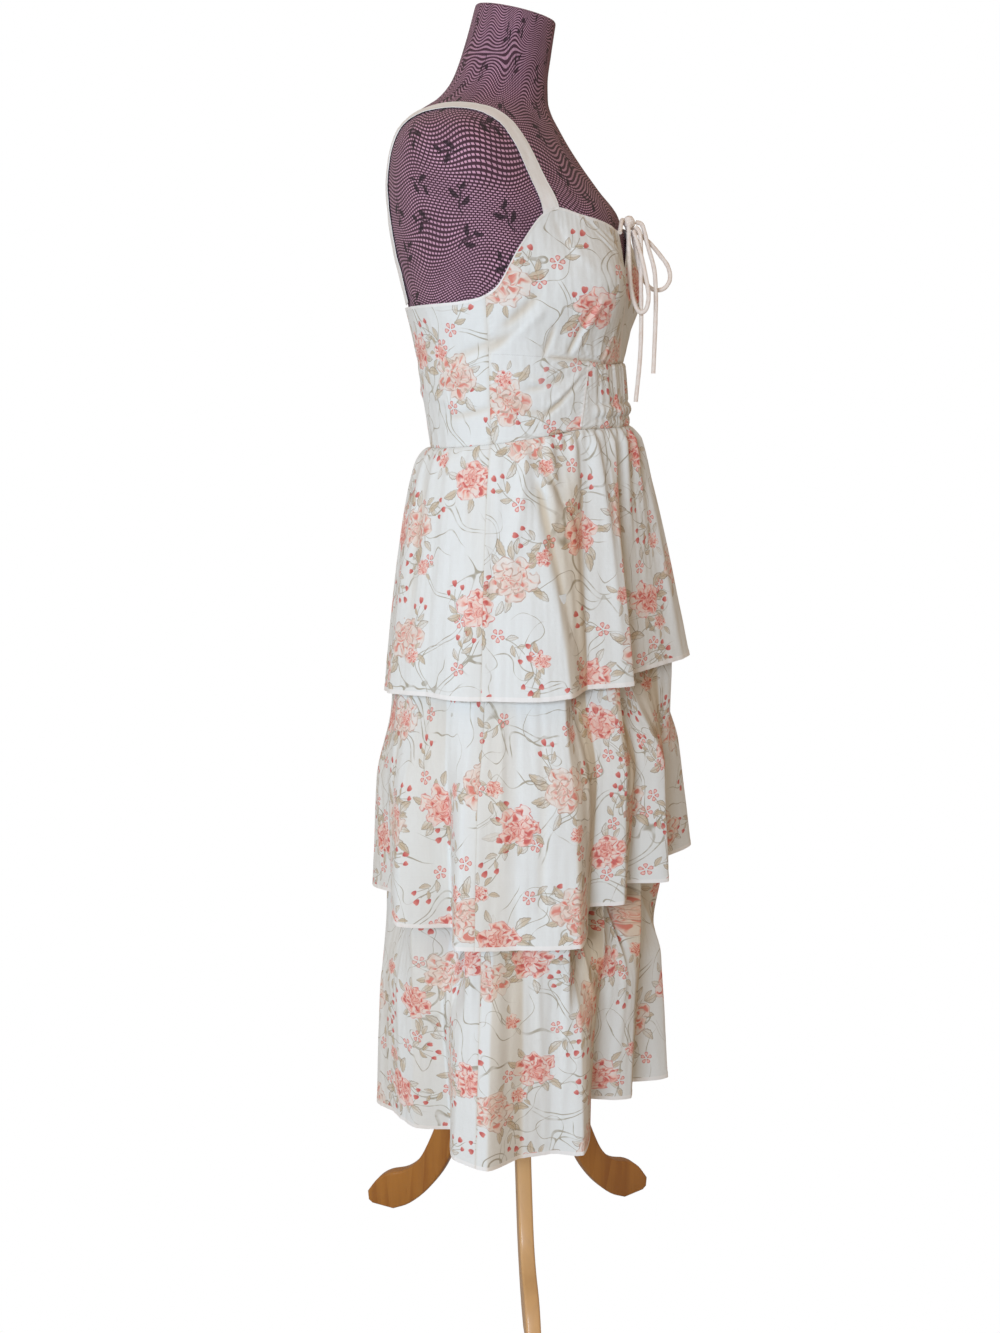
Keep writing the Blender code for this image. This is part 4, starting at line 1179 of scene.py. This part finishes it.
# Soft wrinkles: angle and height of the middle, length along, tilt from level in degrees,
# depth and half width in metres
bodiceCreases = (
    (46, 1.111, 0.066, 113, -0.0036, 0.0030), (43, 1.114, 0.060, 113, 0.0024, 0.0048),
    (51.6, 1.046, 0.060, -43, -0.0034, 0.0030), (50, 1.053, 0.056, -43, 0.0022, 0.0048),
    (60.5, 1.103, 0.034, -71, -0.0022, 0.0032), (73.3, 1.132, 0.050, -41, -0.0022, 0.0055),
    (61.5, 1.059, 0.044, -16, -0.0020, 0.0045), (70, 1.120, 0.050, -38, 0.0016, 0.0050),
    (36, 1.2150, 0.044, 37, -0.0020, 0.0020), (35, 1.2095, 0.044, 39, 0.0016, 0.0022),
    (33, 1.2040, 0.040, 42, -0.0018, 0.0020), (26, 1.2080, 0.030, 30, -0.0014, 0.0018),
    (80, 1.105, 0.060, -35, -0.0018, 0.0045), (94, 1.095, 0.070, -22, -0.0016, 0.0050),
    (-45, 1.110, 0.064, -112, -0.0034, 0.0031), (-42, 1.115, 0.058, -112, 0.0022, 0.0048),
    (-53, 1.044, 0.056, 42, -0.0030, 0.0032), (-60, 1.100, 0.034, 70, -0.0020, 0.0034),
    (-35, 1.2145, 0.042, -37, -0.0018, 0.0020), (-31, 1.2050, 0.040, -40, -0.0016, 0.0021),
    (104, 1.070, 0.070, -28, 0.0015, 0.0050), (98, 1.030, 0.060, -12, -0.0016, 0.0045),
    (76, 1.040, 0.050, 24, -0.0014, 0.0042), (66, 1.062, 0.050, 14, 0.0012, 0.0045),
    (60, 1.035, 0.040, -20, -0.0012, 0.0040), (120, 1.045, 0.070, 14, 0.0014, 0.0050),
    (135, 1.090, 0.080, -16, -0.0016, 0.0060), (155, 1.050, 0.070, 12, 0.0014, 0.0055),
    (180, 1.020, 0.080, 2, -0.0016, 0.0050), (-160, 1.060, 0.070, -10, -0.0014, 0.0055),
    (-130, 1.090, 0.080, 18, 0.0016, 0.0060), (-112, 1.040, 0.070, -16, -0.0015, 0.0050),
    (-96, 1.085, 0.060, 24, -0.0016, 0.0048), (-80, 1.110, 0.055, -32, -0.0016, 0.0048),
    (-68, 1.135, 0.050, -22, 0.0014, 0.0050), (-74, 1.040, 0.050, -20, -0.0014, 0.0042),
    (-62, 1.062, 0.045, -12, 0.0012, 0.0045), (48, 1.190, 0.045, 50, 0.0012, 0.0055),
    (-48, 1.190, 0.045, -50, 0.0012, 0.0055), (18, 1.185, 0.040, -12, -0.0012, 0.0045),
    (-18, 1.186, 0.040, 12, -0.0012, 0.0045), (55, 1.205, 0.040, 62, -0.0010, 0.0045),
)


def bodiceWrinkles(angle, height, radius):
    total = np.zeros(len(angle))
    for middle, level, length, tilt, depth, width in bodiceCreases:
        aside = np.radians((angle - middle + 180.0) % 360.0 - 180.0) * radius
        up = height - level
        c, s = cos(radians(tilt)), sin(radians(tilt))
        along, over = aside * c + up * s, up * c - aside * s
        bow = over - bodiceLook["wrinkleBow"] * along * along
        total += depth * bell(bow / width) * np.exp(-(along / (0.5 * length)) ** 4)
    return total


def cupSurface(angle, height):
    look = bodiceLook
    rise = np.maximum(0.0, height - mirrored(underBust, angle))
    reach = rise / look["cupReach"]
    narrow, wide = look["cupFan"]
    fan = (np.abs(angle) - bustShape["angle"]) / (narrow + (wide - narrow) * reach)
    fade = np.maximum(0.0, 1.0 - reach) * smoothStep(rise / look["cupRise"]) * np.exp(-fan * fan)
    uneven = fan + 0.10 * waver(angle * 0.1, height * 20.0, 2.0)
    wave = 0.5 + 0.5 * np.cos(tau * uneven / look["cupPitch"])
    fine = 0.5 + 0.5 * np.cos(tau * uneven / (look["cupPitch"] * 0.43) + 1.0)
    return bodiceRadius(angle, height) + (look["cupDepth"] * wave + look["cupFine"] * fine) * fade


def midriffSurface(angle, height):
    look = bodiceLook
    level, depth, spread = look["ruche"]
    bent = angle + 1.6 * waver(angle * 0.08, height * 26.0, 6.0)
    wave = 0.5 + 0.5 * np.cos(pi * look["midriffGathers"] * bent / garment["princessWaist"][1])
    fine = 0.5 + 0.5 * np.cos(pi * look["midriffGathers"] * 2.6 * bent / garment["princessWaist"][1])
    edge = smoothStep((garment["princessTop"][1] - np.abs(angle)) / look["midriffEdge"])
    line = bell((height - level) / spread)
    puff = look["midriffDepth"] * wave + look["midriffFine"] * fine + depth * line * (0.75 + 0.25 * fine)
    off, dip, width = look["stitches"]
    stitched = dip * bell((height - level - off) / width) + dip * bell((height - level + off) / width)
    return bodiceRadius(angle, height) + edge * (puff - stitched)


def princess(height):
    low, lowAngle = garment["princessWaist"]
    high, highAngle = garment["princessTop"]
    return lowAngle + (highAngle - lowAngle) * (height - low) / (high - low)


def lowered(rows, drop):
    return tuple((angle, height - drop) for angle, height in rows)


def frontSeam(angle):
    # The seam under the bust fades out towards the side
    return smoothStep((64.0 - folded(angle)) / 9.0)


def waistSeam(angle):
    return 0.25 + 0.75 * smoothStep((62.0 - folded(angle)) / 10.0)


def steady(value):
    return lambda place: np.full(len(place), value)


printAngles = np.arange(-90.0, 273.0)
printArc = np.cumsum(bodiceRadius(printAngles, np.full(len(printAngles), bodiceLook["printLevel"])))
printArc = radians(1.0) * printArc


def bodicePrint(place):
    angle = np.degrees(np.arctan2(-place[:, 0], -place[:, 1]))
    angle = np.where(angle < printAngles[0], angle + 360.0, angle)
    return np.interp(angle, printAngles, printArc), place[:, 2] * bodiceLook["printStretch"]


def bodicePiece(
        name, node, side, first, last, top, bottom, outer, columns, rows, shift, seams, bound=(),
        printPlace=bodicePrint):
    # seams gives how plain each sewn edge shows, and below zero a raised seam with a painted white
    # highlight; bound names the edges with a turned band painted white as a highlight
    def surface(s, t):
        if side > 0:
            s = 1.0 - s
        height = np.full(len(s), 1.1)
        for _ in range(4):
            angle = first(height) * (1.0 - s) + last(height) * s
            high, low = mirrored(top, angle), mirrored(bottom, angle)
            height = high * (1.0 - t) + low * t
        radius = outer(angle, height)
        look = bodiceLook
        width = np.radians(np.abs(last(height) - first(height))) * radius
        sides = (s * width, (1.0 - s) * width, (high - low) * t, (high - low) * (1.0 - t))
        nearest = np.full(len(s), 1.0)
        dip, pucker, white = np.zeros(len(s)), np.zeros(len(s)), np.zeros(len(s))
        for label, distance in zip(("first", "last", "top", "bottom"), sides):
            if label in bound:
                band = smoothStep((look["boundWidth"] - distance) / 0.0010)
                white = np.maximum(white, band)
                radius = radius + look["boundRise"] * band
                continue
            share = seams[label](angle)
            nearest = np.minimum(nearest, distance + (1.0 - np.abs(share)) * 0.010)
            dip = dip + share * bell(distance / look["seamWidth"])
            uneven = np.cos((angle * 0.9 + height * 900.0) * 1.3)
            pucker = pucker + uneven * bell((distance - 0.004) / 0.003) * np.abs(share)
        # Painted highlight: a white line along raised seams
        white = np.maximum(white, smoothStep((-dip - 0.3) / 0.2))
        small = waver(angle * 0.22, height * 22.0, 5.0) * 0.6 + waver(angle * 0.6, height * 50.0, 9.0) * 0.4
        wrinkles = bodiceWrinkles(side * angle, height, radius) * smoothStep(nearest / 0.010)
        radius = radius + wrinkles
        radius = radius - dip * look["seamDip"] + pucker * look["pucker"]
        radius = radius + small * look["small"] * smoothStep(nearest / 0.008)
        # Painted shade in the seams' dips and in the hollows of the wrinkles
        paintedShade = np.clip(dip * 0.6 + 0.8 * smoothStep(-wrinkles / look["deepWrinkle"]), 0.0, 1.0)
        return roundPole(side * angle, radius, height), paintedShade, white

    piece, cloth = clothPiece(name, surface, columns, rows, (node,), shift, None, printPlace)
    print(piece.name, "cloth", [round(value, 3) for value in cloth])


def makeBodice():
    halfGap = np.degrees(garment["gap"] / garment["waistSize"][0])
    gap = garment["gap"]
    sideEnd = garment["sideSeam"] - halfGap
    grids = bodiceLook["grids"]
    cupSeams = {"last": steady(0.4), "bottom": frontSeam}
    sideSeams = {"first": steady(-0.8), "last": steady(0.4), "top": frontSeam, "bottom": waistSeam}
    for side, word, shift in ((1, "Right", (0.06, 0.02)), (-1, "Left", (0.61, 0.35))):
        node = word.lower()
        bodicePiece(
            "cup%sCloth" % word, "dress_cup_" + node, side, lambda height: curveThrough(keyhole, height),
            steady(sideEnd), topEdge, lowered(underBust, -gap), cupSurface, *grids["cup"], shift,
            cupSeams, ("first", "top"))
        bodicePiece(
            "midriff%sCloth" % word, "dress_midriff_" + node, side,
            lambda height: princess(height) + halfGap, steady(sideEnd), lowered(underBust, gap),
            lowered(waistLine, -gap), bodiceRadius, *grids["side"], shift, sideSeams)
    centreSeams = {"first": steady(0.5), "last": steady(0.5), "top": steady(0.9), "bottom": waistSeam}
    bodicePiece(
        "midriffCentreCloth", "dress_midriff_centre", 1, lambda height: -princess(height) + halfGap,
        lambda height: princess(height) - halfGap, lowered(underBust, gap), lowered(waistLine, -gap),
        midriffSurface, *grids["centre"], (0.27, 0.71), centreSeams, (), None)
    backSeams = {"first": steady(0.4), "last": steady(0.4), "bottom": waistSeam}
    bodicePiece(
        "backCloth", "dress_back", 1, steady(garment["sideSeam"] + halfGap),
        steady(360.0 - garment["sideSeam"] - halfGap), topEdge, lowered(waistLine, -gap),
        bodiceRadius, *grids["back"], (0.83, 0.12), backSeams, ("top",))


makeBodice()
print("bodice made")


# Dress form: the covered body, finer than its solid

formLook = {
    "sides": 120,
    "rows": 150,
    "capBevel": 0.003,
    "printGirth": 0.15,     # radius that the print is laid out on
    "capPrint": 3.0,        # how far off in the print the two flat ends lie
    "ground": (0.060, 0.024, 0.042),
    "dash": (0.65, 0.38, 0.53),
    "leaf": (0.016, 0.008, 0.014),
    "rowPitch": 0.0032,
    "dashPitch": 0.0042,
    "rowBend": 0.040,
    "sprigs": 0.046,
    "roughness": 0.88,
    "sheen": 0.05,
    "weavePitch": 0.0006,
    "weaveBump": (0.3, 0.00015),
}


def makeCoverMaterial(look):
    # Generic cover: rows of short dashes whose rows bend softly, with small dark leaf sprigs
    material, tree, shader = newMaterial("coverCotton")
    uv = tree.nodes.new("ShaderNodeUVMap")
    uv.uv_map = "clothMap"
    x, y = splitVector(tree, uv.outputs[0])[:2]
    bend = noiseField(tree, uv.outputs[0], 14.0, 0.0)
    rowsAt = (y + (bend - 0.5) * look["rowBend"]) / look["rowPitch"]
    row = rowsAt.floor()
    inRow = (rowsAt - row - 0.5).size()
    alongRow = x / look["dashPitch"] + (row * 0.5).fraction() + (bend - 0.5) * 4.0
    inDash = (alongRow.fraction() - 0.5).size()
    dash = (inRow * -1.0 + 0.29).step(0.0, 0.14) * (inDash * -1.0 + 0.38).step(0.0, 0.10)
    tone = noiseField(tree, uv.outputs[0], 30.0, 2.0)
    color = mixColor(tree, dash * (tone * 0.5 + 0.62), look["ground"], look["dash"])
    cellX, cellY, randoms = printCell(tree, x, y, look["sprigs"], look["sprigs"] * 0.3, 31.0)
    fx, fy = turned(cellX, cellY, randoms[2] * tau)
    shown = (randoms[0] * -1.0 + 0.80).step(0.0, 0.01)
    for along, side, length in ((-0.006, 1.0, 0.015), (0.001, -1.0, 0.015), (0.009, 1.0, 0.012)):
        lx, ly = turned(fx - along, fy * side, 0.8)
        leaf = placeGroup(tree, leafMotif, X=lx / length, Y=ly / length)
        color = mixColor(tree, Field(tree, leaf.outputs[0]) * shown * 0.9, color, look["leaf"])
    stem = drawnLine(fx, fy - (fx * 260.0).sine() * 0.0016, (-0.014, 0.0), (0.014, 0.0), 0.0011)
    color = mixColor(tree, stem * shown * 0.9, color, look["leaf"])
    weave = placeGroup(tree, plainWeave, Vector=uv.outputs[0], Pitch=look["weavePitch"])
    tree.links.new(color, shader.inputs["Base Color"])
    shader.inputs["Roughness"].default_value = look["roughness"]
    shader.inputs["Sheen Weight"].default_value = look["sheen"]
    addBump(tree, shader, Field(tree, weave.outputs["Height"]), *look["weaveBump"])
    return material


def makeForm(look):
    sides, rows = look["sides"], look["rows"]
    bm = bmesh.new()
    bmesh.ops.create_grid(bm, x_segments=sides, y_segments=rows, size=0.5)
    bm.verts.index_update()
    flat = np.array([vert.co for vert in bm.verts])
    angle = (flat[:, 0] + 0.5) * 360.0 - 180.0
    low, high = formRows[0][0], formRows[-1][0]
    height = low + (flat[:, 1] + 0.5) * (high - low)
    centre = curveThrough(formRows, height, 4)
    place = roundPole(angle, bodyRadius(angle, height), height, centre)
    place[:, 2] += curveThrough(formRows, height, 6) * (place[:, 1] - centre)
    layer = bm.loops.layers.uv.new("clothMap")
    for face in bm.faces:
        for loop in face.loops:
            k = loop.vert.index
            loop[layer].uv = (radians(angle[k]) * look["printGirth"], height[k])
    for vert, point in zip(bm.verts, place + pole):
        vert.co = point
    bmesh.ops.remove_doubles(bm, verts=bm.verts, dist=0.00005)
    rims = [edge for edge in bm.edges if edge.is_boundary]
    caps = bmesh.ops.holes_fill(bm, edges=rims, sides=0)["faces"]
    for cap in caps:
        for loop in cap.loops:
            loop[layer].uv = (loop.vert.co.x, loop.vert.co.y + look["capPrint"])
    capEdges = list({edge for cap in caps for edge in cap.edges})
    bmesh.ops.bevel(
        bm, geom=capEdges, offset=look["capBevel"], affect="EDGES", segments=3, profile=0.5,
        material=-1)
    bmesh.ops.recalc_face_normals(bm, faces=bm.faces)
    mesh = meshFrom(bm, "formBody", 50.0)
    mesh.materials.append(makeCoverMaterial(look))
    thing = bpy.data.objects.new("formBody", mesh)
    finishPiece(thing, ("form_body",))
    return thing


formBody = makeForm(formLook)
print("dress form made")


# Shoulder straps, laid over the form from the cup's corner to the back

strapLook = {
    "width": 0.020,
    "front": (-0.1080, -0.0620, 1.2255),
    "top": (-0.1010, 0.0320, 1.335),
    "back": (-0.0730, 0.1000, 1.1430),
    "hub": (-0.0980, 0.0180, 1.225),
    "lift": 0.0012,
    "steps": (44, 76),
    "columns": 16,
    "reach": 0.100,
    "feelers": (-0.006, 0.0, 0.006),
    "stitch": (0.41, 0.03, 0.00035),        # place and half width as shares of the width, depth
    "wrinkle": 0.00045,
    "endShare": 0.10,       # of the strap's length that rises to the bodice
}


def makeStraps(look, form):
    tree = BVHTree.FromObject(form, bpy.context.evaluated_depsgraph_get())
    stitchAt, stitchWidth, stitchDepth = look["stitch"]
    for side, word in ((1, "Right"), (-1, "Left")):
        flip = np.array((side, 1.0, 1.0))
        hub, start, top, back = (
            Vector(np.array(look[key]) * flip + pole) for key in ("hub", "front", "top", "back"))
        ways = []
        for first, last, count in ((start, top, look["steps"][0]), (top, back, look["steps"][1])):
            for k in range(count + (last is back)):
                ways.append((first - hub).normalized().slerp((last - hub).normalized(), k / count))
        found = [tree.ray_cast(hub + way * look["reach"] * 3.0, -way) for way in ways]
        hits = [hit[0] for hit in found]
        normals = [hit[1] for hit in found]
        total = len(ways) - 1
        crossings = []
        for k in range(total + 1):
            before, after = max(0, k - 2), min(total, k + 2)
            along = (hits[after] - hits[before]).normalized()
            out = (normals[before] + normals[k] * 2.0 + normals[after]).normalized()
            across = along.cross(out).normalized()
            crossings.append((hits[k], along, across, across.cross(along)))

        def surface(s, t, crossings=crossings, total=total):
            places = []
            for a, b in zip(s, t):
                base, along, across, out = crossings[round(b * total)]
                base = base + across * (0.5 - a) * look["width"]
                rises = []
                for ahead in look["feelers"]:
                    for aside in look["feelers"]:
                        above = base + along * ahead + across * aside + out * look["reach"]
                        hit = tree.ray_cast(above, -out)[0]
                        if hit is not None:
                            rises.append((hit - base).dot(out))
                end = 1.0 - float(smoothStep(min(b, 1.0 - b) / look["endShare"]))
                lift = max(rises) + look["lift"] + (garment["ease"] - look["lift"]) * end
                lift = lift + garment["clothThickness"]
                stitch = stitchDepth * float(bell((abs(a - 0.5) - stitchAt) / stitchWidth))
                wrinkle = look["wrinkle"] * noise.noise(Vector((a * 2.0, b * 22.0, side * 4.0)))
                places.append(base + out * (lift - stitch + wrinkle) - Vector(pole))
            # No painted shade; the edge's plain white covers the whole strap
            return np.array(places), np.zeros(len(s)), np.ones(len(s))

        piece, cloth = clothPiece(
            "strap%sCloth" % word, surface, look["columns"], total,
            ("dress_strap_" + word.lower(),), (0.2 + 0.4 * side, 0.05))
        print(piece.name, "cloth", [round(value, 3) for value in cloth])


makeStraps(strapLook, formBody)
print("straps made")


# Tie: a narrow sewn tube, knotted at the cups' corners into a bow

tieLook = {
    "radius": 0.0024,
    "knot": (0.0, -0.1215, 1.226),
    "knotRadii": (0.0086, 0.0064, 0.0075),
    "color": (0.86, 0.81, 0.76),
    "shade": (0.76, 0.62, 0.53),
    "roughness": 0.85,
    "sheen": 0.15,
    "bump": (0.5, 0.0004),
    "samples": 8,           # points between two points of a route
}
# Points of each cord, measured from the knot
tieRoutes = {
    "loop_right": (
        (-0.0080, -0.0012, -0.0051), (-0.0106, -0.0020, -0.0140), (-0.0110, -0.0030, -0.0350),
        (-0.0110, -0.0050, -0.0620), (-0.0100, -0.0090, -0.0820), (-0.0090, -0.0150, -0.0925),
        (-0.0080, -0.0215, -0.0900), (-0.0070, -0.0240, -0.0760), (-0.0055, -0.0200, -0.0550),
        (-0.0040, -0.0145, -0.0340), (-0.0025, -0.0075, -0.0145), (-0.0020, -0.0049, -0.0085),
    ),
    "loop_left": (
        (0.0083, -0.0013, -0.0046), (0.0128, -0.0080, -0.0100), (0.0200, -0.0200, -0.0210),
        (0.0260, -0.0300, -0.0330), (0.0300, -0.0380, -0.0450), (0.0300, -0.0400, -0.0580),
        (0.0260, -0.0340, -0.0675), (0.0200, -0.0230, -0.0680), (0.0150, -0.0130, -0.0560),
        (0.0115, -0.0075, -0.0360), (0.0070, -0.0040, -0.0160), (0.0040, -0.0038, -0.0091),
    ),
    "end_right": (
        (0.0012, -0.0066, -0.0041), (0.0013, -0.0120, -0.0120), (0.0012, -0.0135, -0.0350),
        (0.0000, -0.0140, -0.0600), (-0.0005, -0.0150, -0.0850), (-0.0005, -0.0155, -0.1130),
        (0.0000, -0.0145, -0.1450), (0.0000, -0.0110, -0.1870),
    ),
    "end_left": (
        (0.0045, -0.0068, 0.0006), (0.0085, -0.0130, -0.0030), (0.0100, -0.0190, -0.0240),
        (0.0120, -0.0260, -0.0480), (0.0140, -0.0280, -0.0750), (0.0150, -0.0280, -0.1000),
        (0.0150, -0.0275, -0.1300), (0.0140, -0.0270, -0.1570),
    ),
    "lace_right": (
        (-0.0080, 0.0052, 0.0020), (-0.0122, 0.0054, 0.0006), (-0.0190, 0.0050, -0.0060),
        (-0.0243, 0.0046, -0.0120),
    ),
}
tieRoutes["lace_left"] = tuple((-x, y, z) for x, y, z in tieRoutes["lace_right"])


def makeTieMaterial(look):
    material, tree, shader = newMaterial("tieCotton")
    coordinates = tree.nodes.new("ShaderNodeTexCoord")
    place = coordinates.outputs["Object"]
    spot = noiseField(tree, place, 140.0, 2.0, "3D")
    color = mixColor(tree, spot.step(0.40, 0.75) * 0.45, look["color"], look["shade"])
    x, y, z = splitVector(tree, place)
    pucker = (z * 2600.0 + x * 1500.0).sine() * 0.5 + noiseField(tree, place, 700.0, 2.0, "3D")
    tree.links.new(color, shader.inputs["Base Color"])
    shader.inputs["Roughness"].default_value = look["roughness"]
    shader.inputs["Sheen Weight"].default_value = look["sheen"]
    addBump(tree, shader, pucker, *look["bump"])
    return material


def cubicBetween(a, b, c, d, t):
    # From b at 0 to c at 1, on a smooth line that also passes through a and d
    bend = (2 * a - 5 * b + 4 * c - d) * t * t
    return 0.5 * (2 * b + (c - a) * t + bend + (3 * b - a - 3 * c + d) * t ** 3)


def smoothRoute(points, samples):
    knots = [Vector(point) for point in points]
    knots = [knots[0] * 2 - knots[1]] + knots + [knots[-1] * 2 - knots[-2]]
    route = []
    for a, b, c, d in zip(knots, knots[1:], knots[2:], knots[3:]):
        route.extend(cubicBetween(a, b, c, d, k / samples) for k in range(samples))
    route.append(knots[-2])
    return route


def makeTie(look):
    material = makeTieMaterial(look)
    origin = Vector(look["knot"]) + Vector(pole)
    bm = bmesh.new()
    bmesh.ops.create_icosphere(bm, subdivisions=5, radius=1.0)
    for vert in bm.verts:
        x, y, z = vert.co
        wrap = 0.5 + 0.5 * cos(5.2 * (z * 0.8 + x * 0.75))
        crease = 0.06 * noise.noise(Vector((x * 4.0, y * 4.0, z * 4.0)))
        vert.co = vert.co * (0.86 + 0.16 * wrap ** 0.6 + crease)
    bmesh.ops.scale(bm, verts=bm.verts, vec=look["knotRadii"])
    bmesh.ops.translate(bm, verts=bm.verts, vec=origin)
    mesh = meshFrom(bm, "tieKnot")
    mesh.materials.append(material)
    knot = finishPiece(bpy.data.objects.new("tieKnot", mesh), ("tie_knot",))
    for name, points in tieRoutes.items():
        route = [origin + point for point in smoothRoute(points, look["samples"])]
        curve = bpy.data.curves.new(name, "CURVE")
        curve.dimensions = "3D"
        curve.bevel_depth = look["radius"]
        curve.bevel_resolution = 4
        curve.use_fill_caps = True
        spline = curve.splines.new("POLY")
        spline.points.add(len(route) - 1)
        for number, (slot, point) in enumerate(zip(spline.points, route)):
            slot.co = (*point, 1.0)
            slot.radius = 0.96 + 0.10 * noise.noise(Vector((number * 0.35, len(name), 0.0)))
        curve.materials.append(material)
        word = "tie" + "".join(part.title() for part in name.split("_"))
        cord = finishPiece(bpy.data.objects.new(word, curve), ("tie_" + name,))
        length = sum((b - a).length for a, b in zip(route, route[1:]))
        print(word, "length", round(length, 4))


makeTie(tieLook)
print("tie made")


# Stand: plate, pole, hub and three curved legs of varnished beech

standLook = {
    "hubProfile": (
        (0.0, 0.292), (0.022, 0.292), (0.0255, 0.2905), (0.027, 0.287), (0.027, 0.187),
        (0.0255, 0.1835), (0.022, 0.182), (0.0, 0.182),
    ),
    "turns": 48,
    "legThickness": 0.017,
    "legAngles": (69.0, 189.0, -51.0),
    # Leg's outline seen from its side: distance from the pole, height
    "legOutline": (
        (0.0276, 0.275), (0.046, 0.266), (0.068, 0.240), (0.088, 0.198), (0.103, 0.152),
        (0.118, 0.112), (0.134, 0.080), (0.155, 0.060), (0.180, 0.049), (0.196, 0.036),
        (0.210, 0.016), (0.209, 0.004), (0.203, 0.000), (0.172, 0.000), (0.148, 0.014),
        (0.122, 0.040), (0.099, 0.074), (0.082, 0.114), (0.067, 0.152), (0.050, 0.182),
        (0.0276, 0.196),
    ),
    "squareCorners": {0, 10, 11, 12, 13, 20},   # of that outline; the other points are rounded
    "legSteps": 4,
    "legBevel": 0.0032,
    "colors": ((0.40, 0.162, 0.025), (0.295, 0.105, 0.016), (0.495, 0.228, 0.046)),
    "pale": (0.80, 0.55, 0.28),
    "paleShare": 0.60,      # on the first leg
    "coat": (0.20, 0.15),   # weight and roughness of the varnish
    "bump": (0.12, 0.0004),
}


def makeWoodMaterial(name, look, pale):
    # Long grain in Object coordinates: stretched noise, fine pores and a clear varnish
    material, tree, shader = newMaterial(name)
    coordinates = tree.nodes.new("ShaderNodeTexCoord")
    x, y, z = splitVector(tree, coordinates.outputs["Object"])
    stretched = joinVector(tree, x * 60.0, y * 60.0, z * 5.0)
    grain = noiseField(tree, stretched, 1.0, 4.0, "3D")
    rings = noiseField(tree, joinVector(tree, x * 14.0, y * 14.0, z * 2.0), 1.0, 1.0, "3D")
    rings = (rings * 9.0).fraction().step(0.0, 1.0)
    pores = noiseField(tree, joinVector(tree, x * 500.0, y * 500.0, z * 40.0), 1.0, 2.0, "3D")
    middle, dark, light = look["colors"]
    color = mixColor(tree, grain.step(0.35, 0.70), middle, dark)
    color = mixColor(tree, rings * 0.35, color, light)
    color = mixColor(tree, pores.step(0.60, 0.75) * 0.35, color, dark)
    if pale > 0.0:
        color = mixColor(tree, pale, color, look["pale"])
    tree.links.new(color, shader.inputs["Base Color"])
    rough = grain * 0.12 + 0.28
    tree.links.new(rough.socket, shader.inputs["Roughness"])
    shader.inputs["Coat Weight"].default_value = look["coat"][0]
    shader.inputs["Coat Roughness"].default_value = look["coat"][1]
    addBump(tree, shader, pores + grain, *look["bump"])
    return material


def smoothOutline(points, square, steps):
    # Short steps between the outline's points; square corners and the last edge stay straight
    ring = []
    count = len(points)
    for k in range(count):
        a, b, c, d = (points[(k + step) % count] for step in (-1, 0, 1, 2))
        if k in square:
            a = b * 2.0 - c
        if (k + 1) % count in square:
            d = c * 2.0 - b
        ring.extend(
            cubicBetween(a, b, c, d, step / steps) for step in range(1 if k == count - 1 else steps))
    return ring


def makeStand(look):
    beech = makeWoodMaterial("beechWood", look, 0.0)
    paleBeech = makeWoodMaterial("paleBeechWood", look, look["paleShare"])
    for node in ("stand_pole", "form_plate"):
        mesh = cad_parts[node].data
        mesh.materials.clear()
        mesh.materials.append(beech)
    bm = bmesh.new()
    previous = None
    for reach, height in look["hubProfile"]:
        vert = bm.verts.new((reach, 0.0, height))
        if previous is not None:
            bm.edges.new((previous, vert))
        previous = vert
    bmesh.ops.spin(
        bm, geom=bm.verts[:] + bm.edges[:], angle=tau, steps=look["turns"], axis=(0.0, 0.0, 1.0),
        cent=(0.0, 0.0, 0.0), use_merge=True)
    bmesh.ops.remove_doubles(bm, verts=bm.verts, dist=0.00001)
    bmesh.ops.recalc_face_normals(bm, faces=bm.faces)
    bmesh.ops.translate(bm, verts=bm.verts, vec=pole)
    mesh = meshFrom(bm, "standHub", 40.0)
    mesh.materials.append(beech)
    finishPiece(bpy.data.objects.new("standHub", mesh), ("stand_hub",))
    for number, angle in enumerate(look["legAngles"], start=1):
        bm = bmesh.new()
        ring = smoothOutline(np.array(look["legOutline"]), look["squareCorners"], look["legSteps"])
        corners = [bm.verts.new((-look["legThickness"] / 2.0, -a, b)) for a, b in ring]
        side = bm.faces.new(corners)
        grown = bmesh.ops.extrude_face_region(bm, geom=[side])
        moved = [item for item in grown["geom"] if isinstance(item, bmesh.types.BMVert)]
        bmesh.ops.translate(bm, verts=moved, vec=(look["legThickness"], 0.0, 0.0))
        rims = [edge for edge in bm.edges if abs(edge.verts[0].co.x - edge.verts[1].co.x) < 1e-6]
        bmesh.ops.bevel(
            bm, geom=rims, offset=look["legBevel"], affect="EDGES", segments=4, profile=0.5,
            material=-1, clamp_overlap=True)
        bmesh.ops.rotate(
            bm, verts=bm.verts, cent=(0.0, 0.0, 0.0), matrix=Matrix.Rotation(radians(-angle), 3, "Z"))
        bmesh.ops.translate(bm, verts=bm.verts, vec=pole)
        bmesh.ops.recalc_face_normals(bm, faces=bm.faces)
        mesh = meshFrom(bm, "standLeg%d" % number, 35.0)
        mesh.materials.append(paleBeech if number == 1 else beech)
        leg = bpy.data.objects.new("standLeg%d" % number, mesh)
        finishPiece(leg, ("stand_leg_%d" % number,))


makeStand(standLook)
print("stand made")

print("all pieces made")
